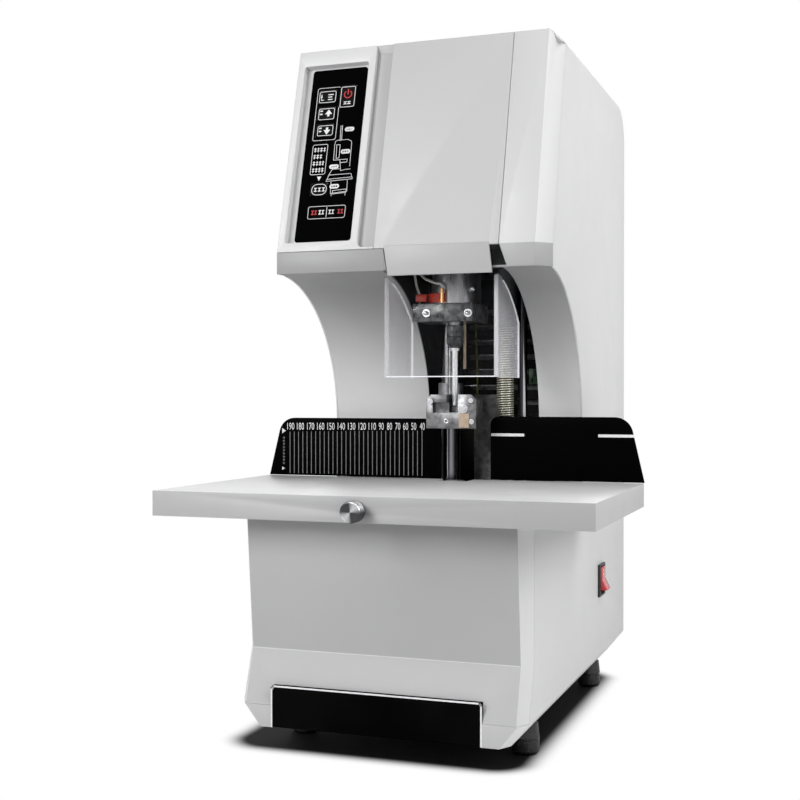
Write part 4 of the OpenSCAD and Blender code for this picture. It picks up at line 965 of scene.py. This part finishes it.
def print_membrane():
    """The membrane's frame lines, its picture of the machine and plain bars where the words stand."""
    art = Print(lambda x, up: on_face(x, up, MEMBRANE_DEPTH - INK))
    art.frame(-112.6, 118.0, -87.9, 175.2, 2.2, 0.5)
    art.frame(-111.2, 81.7, -95.0, 113.9, 2.0, 0.5)
    for row, widths in enumerate(((2.6, 2.2, 2.8, 2.4), (2.4, 2.8, 2.4), (2.8, 2.2, 2.6, 2.0), (2.4, 2.8, 2.2, 2.4))):
        x, y = -109.4, 108.9 - 7.2 * row
        for w in widths:
            art.rect(x, y, x + w, y + 0.8)
            art.rect(x, y - 2.2, x + w, y - 1.4)
            art.rect(x + w / 2 - 0.4, y - 3.2, x + w / 2 + 0.4, y + 1.6)
            x += w + 0.8
    art.fill([(-103.0, 79.6), (-98.6, 79.6), (-100.8, 75.0)])
    art.frame(-108.6, 35.2, -69.4, 48.4, 2.0, 0.5)
    art.rect(-89.2, 36.6, -88.6, 47.0)
    for x, ink in ((-104.9, 1), (-101.6, 1), (-97.2, 0), (-94.0, 0), (-86.8, 0), (-83.6, 0), (-77.4, 1), (-74.2, 1)):
        art.letter(x, 39.6, 2.5, 4.6, 1.0, (0.8, 1.7), ink)
    for points in (
        [(-83.5, 132.5), (-82.8, 116.4)], [(-81.9, 132.5), (-81.3, 117.2)],
        [(-88, 112), (-87.5, 116.2), (-84.9, 117.2), (-74, 117.2), (-70.7, 115), (-70.2, 112.5), (-69.8, 88.9)],
        [(-88, 112), (-87.5, 96.7), (-87.4, 96.1), (-80.8, 96.2), (-78.9, 84.6)],
        [(-85.8, 112.4), (-82.2, 112.2), (-81.9, 98.2), (-85, 97.8), (-85.8, 112.4)],
        [(-80.8, 96.2), (-73, 96.3), (-73.3, 93.3), (-79.9, 93.1)],
        [(-90.6, 81.2), (-87.6, 86.4), (-80.3, 86.6)], [(-78.3, 84.6), (-74.2, 85.5), (-68.8, 85.7)],
        [(-90.6, 80.6), (-67.5, 80.9), (-65.6, 75.2), (-93, 74), (-90.6, 80.6)], [(-91.9, 76.2), (-66.1, 77.2)],
        [(-87.6, 73.1), (-87, 61.1), (-70, 62.5), (-70.6, 73.8)],
        [(-85.1, 64), (-70.8, 64.9), (-71, 61.4), (-84.7, 60.4), (-85.1, 64)],
        [(-86, 61), (-86, 58.5)], [(-71.5, 61), (-71.5, 58.5)],
    ):
        art.line(points, 0.5)
    for x, y in ((-74, 128.2), (-75.8, 104.6), (-86.3, 89.2), (-83.7, 68.4)):
        art.pill(x, y, 5.0, 2.3)
        for k in range(3):
            art.rect(x - 3.3 + 2.4 * k, y - 0.9, x - 1.6 + 2.4 * k, y + 0.9, ink=2)
    art.done("print_membrane", "root", SLOTS["membrane_panel"], INK_WHITE, INK_RED, FILM)


RULER_LEFT, RULER_PITCH, RULER_LINES = -176.2, 148.9 / 30, 31
RULER_VALUES = (*range(190, 100, -10), *range(90, 30, -10))  # there is no 100
RULER_PLACES = (
    -175.3, -164.0, -152.2, -140.6, -128.8, -117.0, -105.2, -93.4, -82.1, -72.1, -62.9, -53.8, -45.2, -36.3, -27.1)


def print_fences():
    """The left fence's ruler and two plain white bars on the right one."""
    front = low("fence_left").y / MM - INK

    def on_fence(x, z):
        return mm(x, front, z)

    ruler = Print(on_fence)
    for k in range(RULER_LINES):
        x = RULER_LEFT + RULER_PITCH * k
        ruler.rect(x - 0.4, 243.4, x + 0.4, 287.5 + 2.6 * k / RULER_LINES, ink=1)
    for value, x in zip(RULER_VALUES, RULER_PLACES):
        ruler.figures(str(value), x, 293.2 + (x + 175.3) * 0.0075, 8.2 if value > 99 else 5.5, 7.4)
    ruler.fill([(-185.4, 285.7), (-180.9, 288.4), (-185.4, 291.2)])
    ruler.fill([(-185.4, 246.2), (-182.2, 248.2), (-185.4, 250.2)])
    for k in range(9):
        ruler.rect(-184.6, 253.4 + 3.4 * k, -182.2, 254.2 + 3.4 * k, ink=1)
        ruler.rect(-183.8, 252.4 + 3.4 * k, -183.1, 255.2 + 3.4 * k, ink=1)
    ruler.done("print_ruler", "fence", SLOTS["fence_left"], INK_WHITE, INK_GREY)
    stripe = Print(on_fence)
    stripe.rect(46.4, 285.1, 80.5, 287.9)
    stripe.rect(155.0, 285.1, 190.4, 287.9)
    stripe.done("print_stripe", "fence", SLOTS["fence_right"])


def print_tray():
    """A painted highlight: a white line over the gap round the tray's front, where its edge catches the light."""
    lo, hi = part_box("dust_tray")
    rim = Print(lambda x, z: mm(x, lo.y / MM - INK, z))
    x0, x1, z0, z1 = lo.x / MM - 0.3, hi.x / MM + 0.3, lo.z / MM + 0.5, hi.z / MM + 0.3
    rim.line([(x0, z0), (x0, z1 - 1.4), (x0 + 1.4, z1), (x1 - 1.4, z1), (x1, z1 - 1.4), (x1, z0)], 1.5)
    rim.done("tray_rim_painted_highlight", "tray", SLOTS["dust_tray"])


ROCKER_PIVOT = Vector((132 * MM, 115 * MM, 128 * MM))
ROCKER_TILT, ROCKER_HALF = math.radians(-14), 12.5  # lean at rest, and half the length
ROCKER_END, ROCKER_DIP, ROCKER_INK = 8.5, 5.5, 0.07  # its face over the pivot, at its ends and middle


def print_rocker():
    """A ring on the pressed-in end and a bar on the other one, each flat on its half of the rocker."""
    for name, way in (("ring", 1), ("bar", -1)):
        def put(across, along, way=way):
            out = ROCKER_DIP + (ROCKER_END - ROCKER_DIP) * along / ROCKER_HALF + ROCKER_INK
            up = along * way
            x = out * math.cos(ROCKER_TILT) + up * math.sin(ROCKER_TILT)
            z = -out * math.sin(ROCKER_TILT) + up * math.cos(ROCKER_TILT)
            return ROCKER_PIVOT + mm(x, across, z)
        mark = Print(put)
        if name == "ring":
            mark.ring(0, 6.6, 3.2, 1.0)
        else:
            mark.rect(-0.6, 4.4, 0.6, 9.6)
        mark.done("print_rocker_" + name, "rocker", SLOTS["rocker"])


print_keys()
print_membrane()
print_fences()
print_tray()
print_rocker()


# ---------- small hardware ----------
def block(bm, x0, x1, y0, y1, z0, z1):
    """A box with all its corners given in millimetres."""
    corners = [bm.verts.new(mm(x, y, z)) for x in (x0, x1) for y in (y0, y1) for z in (z0, z1)]
    for a, b, c, d in ((0, 1, 3, 2), (4, 6, 7, 5), (0, 4, 5, 1), (2, 3, 7, 6), (0, 2, 6, 4), (1, 5, 7, 3)):
        bm.faces.new([corners[i] for i in (a, b, c, d)])


def add_blocks(name, blocks, finish, body, bevel=0.0003):
    """Boxes with rounded edges as one piece."""
    bm = bmesh.new()
    for b in blocks:
        block(bm, *b)
    bmesh.ops.recalc_face_normals(bm, faces=bm.faces)
    bmesh.ops.bevel(bm, geom=bm.edges[:], offset=bevel, offset_type="OFFSET", segments=2, profile=0.5, affect="EDGES",
                    clamp_overlap=True)
    return from_bmesh(name, bm, finish, body)


BAY_BACK = 76
add_blocks("louvre_lips", [(x, 27.8, BAY_BACK - 0.7, BAY_BACK - 0.05, z - 0.45, z + 0.45)
                           for x, z in ((7.2, 385.0), (7.2, 369.4), (7.2, 354.0), (-12, 336.6))],
           BRIGHT, "root", 0.0001)
add_blocks("terminal_board", [(66.4, 75.0, 69.0, 70.6, 337.8, 354.4)], BOARD, "root")
add_blocks("terminal_board_parts", [(67.6, 70.2, 67.2, 69.0, 340.0, 344.6), (71.4, 73.8, 66.8, 69.0, 346.0, 352.2)],
           BLACK, "root")
add_blocks("terminal_board_posts", [(69.4, 71.4, 70.6, BAY_BACK, z, z + 2) for z in (340.5, 349.5)],
           BRASS, "root")
INLET = middle("power_inlet") / MM
add_blocks("inlet_pins", [(INLET.x + x - 1.0, INLET.x + x + 1.0, 247.2, 259.0, INLET.z + z - 2.4, INLET.z + z + 2.4)
                          for x, z in ((-7, -1.5), (7, -1.5), (0, 3.5))], BRASS, "root")
# A painted highlight: a light bar along the crease across the base's front.
add_blocks("base_crease_painted_highlight", [(-125.6, 125.6, -196.35, -195.6, CREASE_Z - 0.45, CREASE_Z + 0.45)], FACET_PAINTED_LIGHT, "root",
           0.0002)


def filler(name, corners, finish):
    """A small solid piece through the given corners, in millimetres."""
    bm = bmesh.new()
    for c in corners:
        bm.verts.new(mm(*c))
    bmesh.ops.convex_hull(bm, input=bm.verts[:])
    return from_bmesh(name, bm, finish, "root")


# Fillers at the head's corners, in the tones of painted light and shade: the lighter facet, the darker groove and the
# darker band.
filler("trim_top_corner",
       [(121.2, -71.4, 668.6), (121.2, -64, 669.6), (121.4, -64, 664), (133.6, -59.2, 657.4), (133.6, -54, 657.4),
        (128, -56, 663.6), (128, -64.6, 663.2), (131, -55, 654), (127, -67.6, 655)], FACET_PAINTED_LIGHT)
filler("groove_top",
       [(x, y, z) for y, z in ((-71.5, 669.6), (-66, 669.6), (-68.4, 662), (-66, 662)) for x in (-51.8, -34.6)],
       GROOVE)
filler("band_end",
       [(x, y, z) for y in (-127.9, -125.9)
        for x, z in ((-36.8, 463.2), (-24.5, 463.2), (-36.8, 443.3), (-21.4, 443.3))], BAND_PAINTED_SHADE)
# Painted highlights: thin near-white bars along the table's front, right and corner edges.
EDGE_INSET, TABLE_EDGE_R = 0.65 * MM, 0.6 * MM
INSET = Vector((EDGE_INSET, EDGE_INSET, EDGE_INSET))
TABLE_LOW, TABLE_HIGH = low("work_table") + INSET, high("work_table") - INSET
LEFT_TOP = Vector((TABLE_LOW.x, TABLE_LOW.y, TABLE_HIGH.z))
RIGHT_TOP = Vector((TABLE_HIGH.x, TABLE_LOW.y, TABLE_HIGH.z))
REAR_TOP = TABLE_HIGH - Vector((0, EDGE_INSET, 0))
RIGHT_FOOT = Vector((TABLE_HIGH.x, TABLE_LOW.y, TABLE_LOW.z + EDGE_INSET))
for name, *ends in (("front", LEFT_TOP, RIGHT_TOP), ("side", RIGHT_TOP, REAR_TOP), ("corner", RIGHT_FOOT, RIGHT_TOP)):
    tube("table_edge_" + name, ends, TABLE_EDGE_R, TABLE_EDGE, "root")
lathe("housing_screw", [(0, -2.6), (1.6, -2.4), (2.6, -1.6), (3.0, -0.6), (3.0, 1.5), (0, 1.5)],
      mm(36.4, -39.2, 431.6), (-0.65, 0.76, 0), POLISHED, "drill_unit", steps=28)
add_blocks("insulator_tail", [(-20.5, -9.0, -47.5, -44.5, 418.8, 426.6)], SILICONE_RED, "drill_unit",
           0.0008)
EYELET_R, EYELET_WIRE_R = 2.0, 0.6 * MM
eyelet = [mm(8.1 + EYELET_R * math.cos(a), low("presser_block").y / MM - 0.35, 300.6 + EYELET_R * math.sin(a))
          for a in (2 * math.pi * k / 28 for k in range(28))]
tube("presser_eyelet", eyelet, EYELET_WIRE_R, POLISHED, "presser", closed=True)
